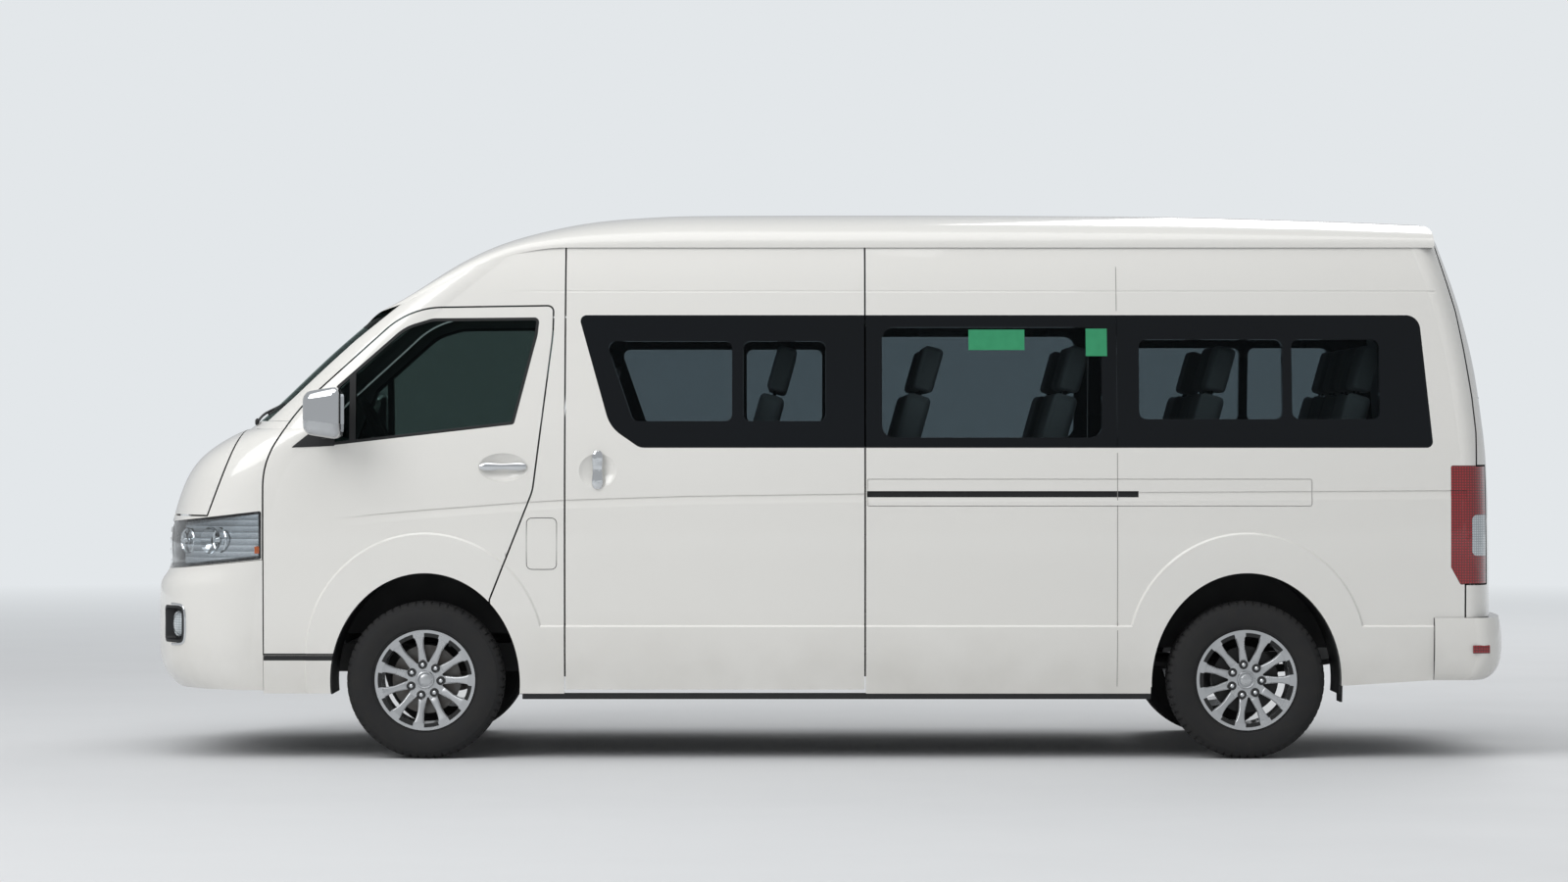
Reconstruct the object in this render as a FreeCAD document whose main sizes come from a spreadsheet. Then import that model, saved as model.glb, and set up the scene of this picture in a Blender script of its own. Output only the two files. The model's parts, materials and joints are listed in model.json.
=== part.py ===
"""A long, high-roof minibus with sliding side doors, built as separate solids.

The front faces -X, the driver sits on the -Y side and +Z is up. The origin is on the ground,
below the middle of the body. All lengths are millimetres.
"""
import FreeCAD, Part
import math
import os
from types import SimpleNamespace

import Sketcher

from FreeCAD import Rotation, Vector

doc = FreeCAD.newDocument("Minibus")

# Driving dimensions, in millimetres and degrees, one row of the sheet each.
SIZES = (
    # whole body
    ("half_length", 2850, "centre to the foremost point"),
    ("height", 2285, "ground to the roof"),
    ("half_width", 938, "centre plane to the widest point of a side"),
    ("wall", 55, "thickness of a body side, door or tailgate"),
    ("shut_gap", 7, "gap round a hinged or sliding door"),
    ("panel_gap", 0.8, "gap between panels that are fixed together"),
    ("seat_gap", 0.3, "gap between a piece and what it is seated on"),
    ("rear_corner", 170, "depth of the rounded rear corner in plan"),
    ("overrun", 200, "how far a cutting tool runs past what it cuts"),
    ("glass", 6, "thickness of the glass"),
    ("flare_depth", 8, "how far the wheel flares and the sill stand proud"),
    ("flare_radius", 474, "radius of a wheel flare"),
    ("flare_level", 456, "height of a wheel flare's centre"),
    ("sill_crease", 538, "height of the crease above the sill"),
    ("crease_depth", 5, "depth of the waist crease"),
    ("crease_fall", 46, "height over which the waist crease runs out"),
    ("line_depth", 2.5, "depth of the fine line under the roof"),
    ("line_fall", 14, "height over which the fine line runs out"),
    ("groove", 3, "width of the groove round a flap or cover"),
    ("lamp_rim", 11, "width of a lamp's black rim"),
    ("lamp_hollow", 28, "depth of a lamp's hollow"),
    ("bowl_radius", 78, "radius of a headlamp's bowl"),
    ("seal_width", 12, "width of the rubber round a door's window"),
    ("roof_wall", 38, "thickness of the roof"),
    ("roof_edge", 806, "half width of the roof cap at the drip line"),
    # axles and wheels
    ("front_axle", 1668, "body centre to the front wheels, forwards"),
    ("rear_axle", 1733, "body centre to the rear wheels, backwards"),
    ("wheel_track", 827, "centre plane to the middle of a tyre"),
    ("tyre_radius", 326, "outer radius of a tyre"),
    ("tyre_width", 195, "width of a tyre"),
    ("rim_radius", 208, "outer radius of a rim at its lip"),
    ("rim_width", 178, "width of a rim"),
    ("hub_radius", 74, "radius of the wheel's hub face"),
    ("bore_radius", 31, "centre bore of a wheel"),
    ("fit", 0.05, "radial clearance of a wheel on its spigot"),
    ("disc_radius", 142, "radius of a brake disc"),
    ("disc_width", 24, "thickness of a brake disc"),
    ("arch_rise", 454, "half height of the wheel arch ellipse"),
    ("arch_reach", 393, "half length of the wheel arch ellipse"),
    ("arch_level", 316, "height of the arch ellipse's centre"),
    ("liner_inner", 540, "centre plane to the liner's inner wall"),
    ("liner_wall", 5, "thickness of a wheel liner"),
    ("liner_open", 505, "height below which the liner's inner wall is open"),
    ("rim_seat", 188, "radius of the rim's tyre seat"),
    ("rim_barrel", 8, "thickness of the rim's barrel"),
    ("rim_flange", 7, "width of the rim's outer flanges"),
    ("hub_offset", 35, "tyre middle to the hub's mounting face, outwards"),
    ("hub_depth", 30, "thickness of the rim's hub"),
    ("spoke_width", 34, "width of a spoke at the hub"),
    ("spoke_waist", 25, "width of a spoke at its waist"),
    ("spoke_end", 46, "width of a spoke at the rim"),
    ("spoke_depth", 18, "thickness of a spoke"),
    ("spoke_count", 11, "number of spokes"),
    ("spigot_depth", 16, "length of the spigot in the rim's bore"),
    ("shoulder", 18, "width of the tyre's rounded shoulder"),
    # running gear
    ("kingpin_inset", 70, "tyre middle to the steering axis, inwards"),
    ("kingpin_radius", 22, "radius of the steering knuckle's post"),
    ("kingpin_reach", 92, "wheel axis to each end of the post"),
    ("spindle_radius", 34, "radius of the stub axle"),
    ("flange_radius", 70, "radius of the hub flange"),
    ("flange_width", 14, "thickness of the hub flange"),
    ("disc_inset", 62, "hub face to the inner side of the brake disc"),
    ("arm_width", 70, "width of a suspension arm"),
    ("arm_depth", 22, "thickness of a suspension arm"),
    ("rail_inner", 400, "centre plane to the inner side of a frame rail"),
    ("rail_width", 60, "width of a frame rail"),
    ("rail_bottom", 440, "height of the underside of the rear frame rails"),
    ("rail_drop", 100, "front rails below the rear rails"),
    ("stop_radius", 12, "radius of the bonnet's rubber stops"),
    ("stop_side", 420, "centre plane to a bonnet stop"),
    ("rail_front", 2420, "body centre to the front end of the rails"),
    ("rail_rear", 2480, "body centre to the rear end of the rails"),
    ("member_length", 90, "size of a cross member along the vehicle"),
    ("member_height", 84, "height of a cross member"),
    ("axle_radius", 38, "radius of the rear axle tube"),
    ("drum_radius", 138, "radius of a rear brake drum"),
    ("drum_width", 80, "width of a rear brake drum"),
    ("differential_radius", 112, "radius of the differential housing"),
    ("spring_reach", 560, "axle to each end of a leaf spring"),
    ("spring_width", 60, "width of a leaf spring"),
    ("leaf_depth", 10, "thickness of one spring leaf"),
    ("leaf_rise", 60, "how far a spring's ends stand above its middle"),
    ("spring_eye", 22, "radius of a spring's eye"),
    ("shaft_radius", 34, "radius of the propeller shaft"),
    ("engine_front", 1960, "body centre to the front of the engine"),
    ("engine_length", 640, "length of the engine"),
    ("engine_width", 560, "width of the engine"),
    ("engine_bottom", 330, "height of the engine's underside"),
    ("engine_height", 440, "height of the engine"),
    ("tank_front", 250, "body centre to the front of the fuel tank, backwards"),
    ("tank_length", 850, "length of the fuel tank"),
    ("tank_width", 300, "width of the fuel tank"),
    ("tank_bottom", 290, "height of the fuel tank's underside"),
    ("tank_height", 240, "height of the fuel tank"),
    ("tank_edge", 50, "corner radius of the fuel tank"),
    ("pipe_radius", 28, "radius of the exhaust pipe"),
    ("pipe_inset", 620, "centre plane to the exhaust pipe"),
    ("pipe_level", 300, "height of the exhaust pipe"),
    ("hanger_radius", 8, "radius of the silencer's hangers"),
    ("silencer_radius", 85, "radius of the silencer"),
    ("silencer_length", 620, "length of the silencer"),
    ("silencer_front", 350, "body centre to the front of the silencer, backwards"),
    ("tow_radius", 18, "radius of the eye in a towing lug"),
    ("tow_plate", 16, "thickness of a towing lug"),
    ("tow_width", 95, "width of a towing lug"),
    ("tow_length", 190, "length of a towing lug"),
    # cabin
    ("floor_top", 600, "height of the passenger floor"),
    ("floor_wall", 40, "thickness of the floor"),
    ("step_top", 500, "height of the footwell floor"),
    ("platform_top", 830, "height of the platform under the front seats"),
    ("bulkhead_front", 2520, "body centre to the front of the bulkhead"),
    ("bulkhead_top", 1120, "height of the bulkhead"),
    ("platform_front", 2035, "body centre to the front of the seat platform"),
    ("platform_rear", 1225, "body centre to the rear of the seat platform"),
    ("floor_rear", 2790, "body centre to the rear end of the floor"),
    ("dash_gap", 14, "gap between the dashboard and a door"),
    ("wheel_rim", 185, "radius of the steering wheel"),
    ("wheel_grip", 14, "radius of the steering wheel's grip"),
    ("wheel_boss", 62, "radius of the steering wheel's hub"),
    ("steer_front", 1880, "body centre to the steering wheel's hub"),
    ("steer_side", 430, "centre plane to the steering wheel's hub"),
    ("steer_level", 1330, "height of the steering wheel's hub"),
    ("steer_lean", 60, "degrees that the steering wheel leans from level"),
    ("column_length", 300, "length of the steering column"),
    ("column_radius", 30, "radius of the steering column"),
    ("seat_width", 396, "width of one seat"),
    ("seat_depth", 440, "length of a seat cushion"),
    ("cushion_height", 120, "thickness of a seat cushion"),
    ("cushion_level", 330, "floor to the underside of a seat cushion"),
    ("back_height", 690, "cushion to the top of the head restraint"),
    ("back_depth", 110, "thickness of a backrest"),
    ("back_lean", 195, "how far the top of a backrest leans back"),
    ("leg_width", 40, "thickness of a seat's leg frame"),
    ("leg_inset", 70, "seat's side to its leg frame"),
    ("seat_outer", 600, "centre plane to the middle of an outer seat"),
    ("seat_pitch", 398, "middle to middle of two seats side by side"),
    ("row_first", -850, "body centre to the front edge of the first row"),
    ("row_pitch", 612, "distance from one row to the next"),
    ("cab_cushion_level", 40, "platform to the underside of a front cushion"),
    ("cab_row", -1640, "body centre to the front edge of the front seats"),
    # outside fittings
    ("bumper_half_width", 943, "centre plane to the side of the rear bumper"),
    ("bumper_front", 2508, "body centre to the front edge of the rear bumper"),
    ("mirror_length", 85, "half length of a mirror housing"),
    ("mirror_reach", 115, "half width of a mirror housing"),
    ("mirror_height", 113, "half height of a mirror housing"),
    ("mirror_front", 2072, "body centre to the middle of a mirror"),
    ("mirror_side", 1075, "centre plane to the middle of a mirror"),
    ("mirror_level", 1424, "height of the middle of a mirror"),
    ("mirror_base", 26, "how far a mirror's foot stands out"),
    ("mirror_arm", 26, "radius of a mirror's arm"),
    ("fog_inner", 690, "centre plane to a fog lamp's inner side"),
    ("fog_width", 155, "width of a fog lamp"),
    ("fog_low", 477, "height of a fog lamp's underside"),
    ("fog_height", 154, "height of a fog lamp"),
    ("fog_corner", 26, "corner radius of a fog lamp"),
    ("handle_length", 193, "length of a front door's handle"),
    ("handle_rear", 1247, "body centre to the rear end of a front door's handle"),
    ("handle_level", 1210, "height of a front door's handle"),
    ("handle_height", 34, "height of a front door's handle"),
    ("handle_depth", 18, "thickness of a handle"),
    ("handle_lift", 7, "body's side to the middle of a handle, outwards"),
    ("handle_post", 7, "radius of a handle's posts"),
    ("scoop_depth", 20, "depth of the recess behind a handle"),
    ("scoop_length", 232, "length of the recess behind a front handle"),
    ("scoop_height", 136, "height of the recess behind a front handle"),
    ("pull_length", 157, "height of a sliding door's handle"),
    ("pull_width", 46, "width of a sliding door's handle"),
    ("pull_front", 953, "body centre to the middle of a sliding door's handle"),
    ("pull_level", 1197, "height of the middle of a sliding door's handle"),
    ("pull_scoop", 176, "length of the recess behind a sliding door's handle"),
    ("track_depth", 18, "depth of the slot that a sliding door runs in"),
    ("flap_width", 178, "width of a mud flap"),
    ("flap_low", 176, "height of a mud flap's lower edge"),
    ("flap_height", 270, "height of a mud flap"),
    ("flap_wall", 8, "thickness of a mud flap"),
    ("grille_half_width", 590, "centre plane to the end of the grille"),
)

sheet = doc.addObject("Spreadsheet::Sheet", "Sizes")
for row, (alias, number, note) in enumerate(SIZES, start=1):
    sheet.set(f"A{row}", note)
    sheet.set(f"B{row}", str(number))
    sheet.setAlias(f"B{row}", alias)
doc.recompute()
s = SimpleNamespace(**{alias: float(sheet.get(alias)) for alias, _, _ in SIZES})

# Body section tables: height as a share of the height, and a share of the half length or width.
FRONT_SHARES = (
    (0.1007, -0.9596), (0.1313, -0.9772), (0.1597, -0.9937), (0.1926, -0.9993), (0.2451, -1.0),
    (0.3020, -0.9993), (0.3217, -0.9951), (0.3348, -0.9877), (0.3807, -0.9846), (0.4245, -0.9807),
    (0.4639, -0.9719), (0.5077, -0.9575), (0.5422, -0.9375), (0.5689, -0.9105), (0.5886, -0.8825),
    (0.5987, -0.8607),
)
SCREEN_SHARES = (
    (0.5987, -0.8607), (0.6241, -0.8344), (0.6565, -0.8042), (0.7002, -0.7663), (0.7597, -0.7140),
    (0.8149, -0.6604), (0.8753, -0.5982), (0.9282, -0.5439), (0.9777, -0.4930), (1.0066, -0.4632),
)
REAR_SHARES = (
    (0.1007, 0.9684), (0.2508, 0.9821), (0.5335, 0.9772), (0.6446, 0.9684), (0.7190, 0.9596),
    (0.7921, 0.9463), (0.8499, 0.9333), (0.9120, 0.9165), (0.9453, 0.9070), (0.9628, 0.8982),
    (0.9777, 0.8796), (1.0066, 0.8316),
)
WIDTH_SHARES = (
    (0.1007, 0.9468), (0.1313, 0.9606), (0.1969, 0.9840), (0.3063, 0.9957), (0.3939, 1.0),
    (0.4814, 0.9979), (0.5646, 0.9872), (0.6565, 0.9628), (0.8053, 0.9170), (0.8490, 0.9021),
    (0.9282, 0.8511), (1.0066, 0.7926),
)
CORNER_SHARES = (
    (0.1007, 0.1509), (0.3063, 0.1684), (0.4376, 0.1684), (0.5987, 0.1509), (0.7002, 0.1158),
    (0.8149, 0.0982), (1.0066, 0.0912),
)
LOW_LEVEL_SHARES = (
    0.1007, 0.1313, 0.1597, 0.1926, 0.2451, 0.3020, 0.3217, 0.3348, 0.3807, 0.4245, 0.4639,
    0.5077, 0.5422, 0.5689, 0.5886, 0.5987,
)
HIGH_LEVEL_SHARES = (
    0.5987, 0.6241, 0.6565, 0.7002, 0.7597, 0.8149, 0.8753, 0.9282, 0.9540, 0.9777, 1.0066,
)
# Roof tables: place along the body as a share of the half length, and a share of the height.
CROWN_SHARES = (
    (-0.6877, 0.7930), (-0.6604, 0.8149), (-0.6309, 0.8350), (-0.6025, 0.8586), (-0.5744, 0.8832),
    (-0.5463, 0.9050), (-0.5179, 0.9243), (-0.4898, 0.9405), (-0.4618, 0.9527), (-0.4333, 0.9632),
    (-0.3772, 0.9803), (-0.2923, 0.9934), (-0.1895, 0.9991), (0.1053, 1.0), (0.4561, 0.9978),
    (0.6607, 0.9921), (0.8056, 0.9856), (0.9193, 0.9786),
)
DRIP_SHARES = (
    (-0.6877, 0.7856), (-0.6530, 0.8118), (-0.6088, 0.8328), (-0.5814, 0.8525), (-0.5540, 0.8705),
    (-0.5263, 0.8884), (-0.4989, 0.9024), (-0.4709, 0.9120), (-0.4435, 0.9195), (-0.4168, 0.9252),
    (-0.3807, 0.9282), (-0.2923, 0.9284), (-0.1895, 0.9284), (0.9193, 0.9284),
)
# Superellipse powers of the plan corners and of the roof arch, and points on half of each arc.
CORNER_POWERS = ((0.1007, 3.0), (0.4376, 3.0), (0.5987, 3.5), (0.7002, 4.4), (1.0066, 4.6))
REAR_POWER = 3.0
ROOF_POWER = 2.7
ARC_STEPS = 8
ROOF_STEPS = 24

# Side outlines: shares of the half length and the height, then a corner radius as a share of it.
DOOR_SHARES = (
    (-0.8200, 0.1895, 0), (-0.8200, 0.5383, 0.1532), (-0.7719, 0.6333, 0.3063),
    (-0.6088, 0.8179, 0.1532), (-0.3993, 0.8219, 0.0109), (-0.4000, 0.7702, 0.2626),
    (-0.4288, 0.4858, 0.0875), (-0.4912, 0.2888, 0), (-0.4912, 0.1895, 0),
)
DOOR_WINDOW_SHARES = (
    (-0.7491, 0.5641, 0.0088), (-0.7133, 0.6761, 0.0088), (-0.6158, 0.7834, 0.0875),
    (-0.5754, 0.7987, 0.0438), (-0.4196, 0.8004, 0.0088), (-0.4225, 0.7681, 0.0219),
    (-0.4561, 0.6061, 0.0066),
)
SLIDER_SHARES = ((-0.3821, 0.1239), (-0.3821, 0.95), (0.0540, 0.95), (0.0540, 0.1239))
BAND_SHARES = (
    (-0.3628, 0.8044, 0.0109), (-0.3165, 0.6009, 0.0656), (-0.2733, 0.5637, 0.0263),
    (0.8786, 0.5637, 0.0109), (0.8604, 0.8044, 0.0263),
)
BAND_SPLIT_SHARES = (0.0540, 0.4200)
PANE_SHARES = (
    ((-0.3228, 0.7567, 0.0131), (-0.2828, 0.6123, 0.0131), (-0.1396, 0.6123, 0.0131),
     (-0.1396, 0.7567, 0.0131)),
    ((-0.1228, 0.7567, 0.0131), (-0.1228, 0.6123, 0.0131), (-0.0035, 0.6123, 0.0131),
     (-0.0035, 0.7567, 0.0131)),
    ((0.0789, 0.7821, 0.0219), (0.0789, 0.5825, 0.0219), (0.3979, 0.5825, 0.0219),
     (0.3979, 0.7821, 0.0219)),
    ((0.4523, 0.7597, 0.0131), (0.4523, 0.6158, 0.0131), (0.6607, 0.6158, 0.0131),
     (0.6607, 0.7597, 0.0131)),
    ((0.6744, 0.7597, 0.0131), (0.6744, 0.6158, 0.0131), (0.8011, 0.6158, 0.0131),
     (0.8011, 0.7597, 0.0131)),
)
HEADLAMP_SHARES = (
    (-0.8225, 0.3624, 0.0035), (-0.8225, 0.4490, 0.0035), (-0.9650, 0.4285, 0.0035),
    (-0.9650, 0.3440, 0.0035),
)
TAIL_LAMP_SHARES = (
    (0.9039, 0.5313, 0.0035), (0.9650, 0.5313, 0), (0.9650, 0.3165, 0), (0.9175, 0.3165, 0.0035),
    (0.9039, 0.3475, 0.0035),
)
REVERSE_SHARES = ((0.9347, 0.3681, 0.0088), (0.9347, 0.4420, 0.0088), (0.9850, 0.4420, 0),
                  (0.9850, 0.3681, 0))
REAR_PILLAR_SHARE = 0.72
# Creases along the side; the last share tells how much of the full depth is reached.
WAIST_SHARES = (
    (-0.7218, 0.4341, 0.05), (-0.6600, 0.4430, 0.6), (-0.6039, 0.4499, 1.0),
    (-0.4333, 0.4661, 1.0), (-0.3807, 0.4696, 1.0), (-0.2060, 0.4766, 1.0),
    (0.0554, 0.4810, 1.0), (0.7035, 0.4853, 1.0), (0.9260, 0.4871, 1.0),
)
LINE_SHARES = ((-0.5100, 0.8480, 0.2), (-0.3833, 0.8490, 1.0), (0.9330, 0.8490, 1.0))
FUEL_FLAP_SHARES = ((-0.4375, 0.3435, 0.0088), (-0.4375, 0.4368, 0.0088),
                    (-0.3937, 0.4368, 0.0088), (-0.3937, 0.3435, 0.0088))
TRACK_SHARES = ((0.0565, 0.4740), (0.0565, 0.4853), (0.4505, 0.4853), (0.4505, 0.4740))
COVER_SHARES = ((0.0575, 0.4582, 0.0022), (0.0575, 0.5068, 0.0022), (0.7021, 0.5068, 0.0044),
                (0.7021, 0.4582, 0.0044))
QUARTER_BAR_SHARES = ((-0.6950, 0.5500), (-0.6860, 0.5500), (-0.6860, 0.7300),
                      (-0.6950, 0.7300))
BOWL_SHARES = ((-0.9560, 0.3940, 0.72), (-0.9080, 0.3960, 0.90))
RIB_SHARES = (0.372, 0.388, 0.404, 0.420)
LEAF_SHARES = (1.0, 0.74, 0.46)
BAR_SHARES = ((0.0, 0.5), (0.07, 0.86), (0.2, 1.0), (0.8, 1.0), (0.93, 0.86), (1.0, 0.5))
SILL_SHARES = ((-0.4440, 0.1081), (0.4690, 0.1081), (0.4690, 0.1179), (-0.4440, 0.1179))
STEP_SHARES = ((-0.8195, 0.1785), (-0.7150, 0.1785), (-0.7150, 0.1875), (-0.8195, 0.1875))
BONNET_SHARES = ((-1.02, 0.4405), (-0.9030, 0.4405), (-0.8590, 0.5850), (-0.8540, 0.6060),
                 (-1.02, 0.6060))
SCREEN_EDGE_SHARES = ((-0.8250, 0.5990), (-0.8091, 0.6241), (-0.7789, 0.6565), (-0.7411, 0.7002),
                      (-0.6888, 0.7597), (-0.6270, 0.8220))
TAILGATE_SHARES = (
    (0.8860, 0.9555), (0.9020, 0.8805), (0.9172, 0.8123), (0.9270, 0.7435), (0.9379, 0.6543),
    (0.9425, 0.5917), (0.9418, 0.5313), (0.9594, 0.5313), (0.9594, 0.3165), (0.9246, 0.3165),
    (0.9246, 0.2551), (1.02, 0.2551), (1.02, 0.9570),
)
TAILGATE_WINDOW_SHARES = (0.70, 0.5990, 0.8270, 0.0394)


def smooth(table, place):
    """Value at a place on the monotone cubic through a table of (place, value) pairs."""
    places = [pair[0] for pair in table]
    values = [pair[1] for pair in table]
    spans = [b - a for a, b in zip(places, places[1:])]
    slopes = [(b - a) / span for a, b, span in zip(values, values[1:], spans)]
    tangents = [slopes[0]]
    for before, after, left, right in zip(slopes, slopes[1:], spans, spans[1:]):
        if before * after <= 0:
            tangents.append(0.0)
            continue
        near, far = 2 * right + left, right + 2 * left
        tangents.append((near + far) / (near / before + far / after))
    tangents.append(slopes[-1])
    index = 0
    while index < len(spans) - 1 and place > places[index + 1]:
        index += 1
    part = (place - places[index]) / spans[index]
    rest = 1 - part
    return (values[index] * (1 + 2 * part) * rest ** 2
            + spans[index] * tangents[index] * part * rest ** 2
            + values[index + 1] * part ** 2 * (3 - 2 * part)
            - spans[index] * tangents[index + 1] * part ** 2 * rest)


def plan_arc(centre, depth, half, level, power=REAR_POWER):
    """Superellipse arc across the body in plan, bulging along +X or, with a minus depth, -X."""
    points = []
    for step in range(-ARC_STEPS, ARC_STEPS + 1):
        angle = step * math.pi / 2 / ARC_STEPS
        across = half * math.copysign(abs(math.sin(angle)) ** (2 / power), angle)
        along = 0.0 if abs(step) == ARC_STEPS else math.cos(angle) ** (2 / power)
        points.append(Vector(centre + depth * along, across, level))
    curve = Part.BSplineCurve()
    curve.interpolate(points)
    return curve.toShape()


def body_section(level_share, inset, spread, front_table):
    """Closed plan outline of the body at one height, moved inwards by the inset."""
    level = s.height * level_share
    half = s.half_width * smooth(WIDTH_SHARES, level_share) - inset + spread
    front = s.half_length * smooth(front_table, level_share) + inset
    rear = s.half_length * smooth(REAR_SHARES, level_share) - inset
    front_depth = s.half_length * smooth(CORNER_SHARES, level_share) - inset / 2
    rear_depth = s.rear_corner - inset / 2
    power = smooth(CORNER_POWERS, level_share)
    nose = plan_arc(front + front_depth, -front_depth, half, level, power)
    tail = plan_arc(rear - rear_depth, rear_depth, half, level)
    sides = [Part.LineSegment(Vector(front + front_depth, side * half, level),
                              Vector(rear - rear_depth, side * half, level)).toShape()
             for side in (-1, 1)]
    return Part.Wire(Part.__sortEdges__([nose, sides[0], tail, sides[1]]))


hulls = {}


def hull(inset, spread=0.0):
    """Whole body below the roof cap as one solid, moved inwards by the inset."""
    key = (inset, spread)
    if key not in hulls:
        low = Part.makeLoft([body_section(share, inset, spread, FRONT_SHARES)
                             for share in LOW_LEVEL_SHARES], True, False)
        high = Part.makeLoft([body_section(share, inset, spread, SCREEN_SHARES)
                              for share in HIGH_LEVEL_SHARES], True, False)
        hulls[key] = low.fuse(high)
    return hulls[key]


def skin(outer, inner):
    """Layer of the body between two depths below its surface."""
    return hull(outer).cut(hull(inner))


def side_point(shares, y=0.0):
    """Point of the side view given by its shares of the half length and the height."""
    return Vector(s.half_length * shares[0], y, s.height * shares[1])


def outline(shares, y=0.0, grow=0.0):
    """Closed side-view wire with rounded corners, grown outwards by a distance."""
    corners = [side_point(share, y) for share in shares]
    radii = [s.height * share[2] if len(share) > 2 else 0.0 for share in shares]
    edges = []
    starts, ends = [], []
    for index, corner in enumerate(corners):
        before = (corners[index - 1] - corner).normalize()
        after = (corners[(index + 1) % len(corners)] - corner).normalize()
        radius = radii[index]
        if radius == 0:
            starts.append(corner)
            ends.append(corner)
            continue
        half_turn = before.getAngle(after) / 2
        reach = radius / math.tan(half_turn)
        start, end = corner + before * reach, corner + after * reach
        middle = (before + after).normalize()
        apex = corner + middle * (radius / math.sin(half_turn) - radius)
        starts.append(start)
        ends.append(end)
        edges.append(Part.Arc(start, apex, end).toShape())
    for index, end in enumerate(ends):
        start = starts[(index + 1) % len(starts)]
        if end.distanceToPoint(start) > s.fit:
            edges.append(Part.LineSegment(end, start).toShape())
    wire = Part.Wire(Part.__sortEdges__(edges))
    return wire.makeOffset2D(grow) if grow else wire


def prism(wire, reach):
    """Solid swept along Y from a side-view wire."""
    return Part.Face(wire).extrude(Vector(0, reach, 0))


def left_prism(shares, grow=0.0):
    """Cutter of a side-view outline through the left side only."""
    start = -s.half_width - s.overrun
    return prism(outline(shares, start, grow), -start)


def full_prism(shares, grow=0.0):
    """Cutter of a side-view outline through the whole width."""
    start = -s.half_width - s.overrun
    return prism(outline(shares, start, grow), -2 * start)


def block(x_low, x_high, y_low, y_high, z_low, z_high):
    """Plain box between two corners."""
    return Part.makeBox(x_high - x_low, y_high - y_low, z_high - z_low, Vector(x_low, y_low, z_low))


def mirrored(shape):
    """The same piece on the other side of the vehicle."""
    return shape.mirror(Vector(0, 0, 0), Vector(0, 1, 0))


def feature(label, shape):
    """Sub-part whose shape comes from the body's own surfaces."""
    item = doc.addObject("Part::Feature", label)
    item.Label = label
    item.Shape = shape
    item.Placement = FreeCAD.Placement()
    return item


def value(formula):
    """Number that a formula in sheet aliases stands for."""
    return float(sheet.evalExpression(formula))


def primitive(kind, name, place, turn=None, **formulas):
    """Part primitive whose sizes and place are bound to the sheet."""
    item = doc.addObject(kind, name)
    if turn:
        item.Placement = FreeCAD.Placement(Vector(), Rotation(*turn))
    for key, formula in formulas.items():
        item.setExpression(key, formula)
    for axis, formula in zip("xyz", place):
        item.setExpression(f".Placement.Base.{axis}", formula)
    return item


def boxed(name, place, length, width, height):
    """Box bound to the sheet, from its low corner."""
    return primitive("Part::Box", name, place, Length=length, Width=width, Height=height)


def rod(name, place, radius, height, turn=None):
    """Cylinder bound to the sheet; it stands along Z unless it is turned."""
    return primitive("Part::Cylinder", name, place, turn, Radius=radius, Height=height)


def fused(label, items):
    """Sub-part made of joined or separate objects of the document."""
    item = doc.addObject("Part::MultiFuse", label)
    item.Label = label
    item.Shapes = items
    return item


def pinned_sketch(body, name, role, points, lift=None):
    """Closed sketch of straight runs whose points are pinned to the sheet's sizes."""
    sketch = body.newObject("Sketcher::SketchObject", name)
    plane = next(item for item in body.Origin.OriginFeatures if item.Role == role)
    sketch.AttachmentSupport = [(plane, "")]
    sketch.MapMode = "FlatFace"
    if lift:
        sketch.setExpression(".AttachmentOffset.Base.z", lift)
    places = [Vector(value(across), value(up), 0) for across, up in points]
    for start, end in zip(places, places[1:] + places[:1]):
        sketch.addGeometry(Part.LineSegment(start, end), False)
    for index, (across, up) in enumerate(points):
        sketch.addConstraint(Sketcher.Constraint("Coincident", index, 2,
                                                 (index + 1) % len(points), 1))
    for index, (across, up) in enumerate(points):
        for kind, formula, number in (("DistanceX", across, places[index].x),
                                      ("DistanceY", up, places[index].y)):
            pin = sketch.addConstraint(Sketcher.Constraint(kind, -1, 1, index, 1, number))
            sketch.setExpression(f"Constraints[{pin}]", formula)
    return sketch


def revolved(body, name, sketch, tool=False):
    """Revolution, or groove, of a sketch about its own upright axis."""
    kind = "PartDesign::Groove" if tool else "PartDesign::Revolution"
    turn = body.newObject(kind, name)
    turn.Profile = sketch
    turn.ReferenceAxis = (sketch, ["V_Axis"])
    turn.Angle = 360
    return turn


def padded_on(body, name, sketch, length):
    """Pad of a sketch by a bound length."""
    pad = body.newObject("PartDesign::Pad", name)
    pad.Profile = sketch
    pad.setExpression("Length", length)
    return pad


def arch_wire(axle, grow, y):
    """Ellipse of a wheel arch in the side view."""
    centre = Vector(axle, y, s.arch_level)
    tall = Vector(axle, y, s.arch_level + s.arch_rise + grow)
    wide = Vector(axle + s.arch_reach + grow, y, s.arch_level)
    return Part.Wire(Part.Ellipse(tall, wide, centre).toShape())


def arch(axle, grow=0.0, inner=0.0):
    """Cutter of the left wheel arch, from outside the body to its inner wall."""
    start = -s.half_width - s.overrun
    return prism(arch_wire(axle, grow, start), -start - s.liner_inner + inner)


AXLES = (-s.front_axle, s.rear_axle)

# The body shell, and the thin layer that all glass is cut from.
shell = skin(0.0, s.wall)
glazing = skin(s.panel_gap, s.panel_gap + s.glass)
far = s.half_length + s.overrun
high = s.height + s.overrun
left_half = block(-far, far, -s.half_width - s.overrun, 0, 0, high)
left_shell = shell.common(left_half)
left_glazing = glazing.common(left_half)
lining = hull(s.wall + s.seat_gap)


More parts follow.
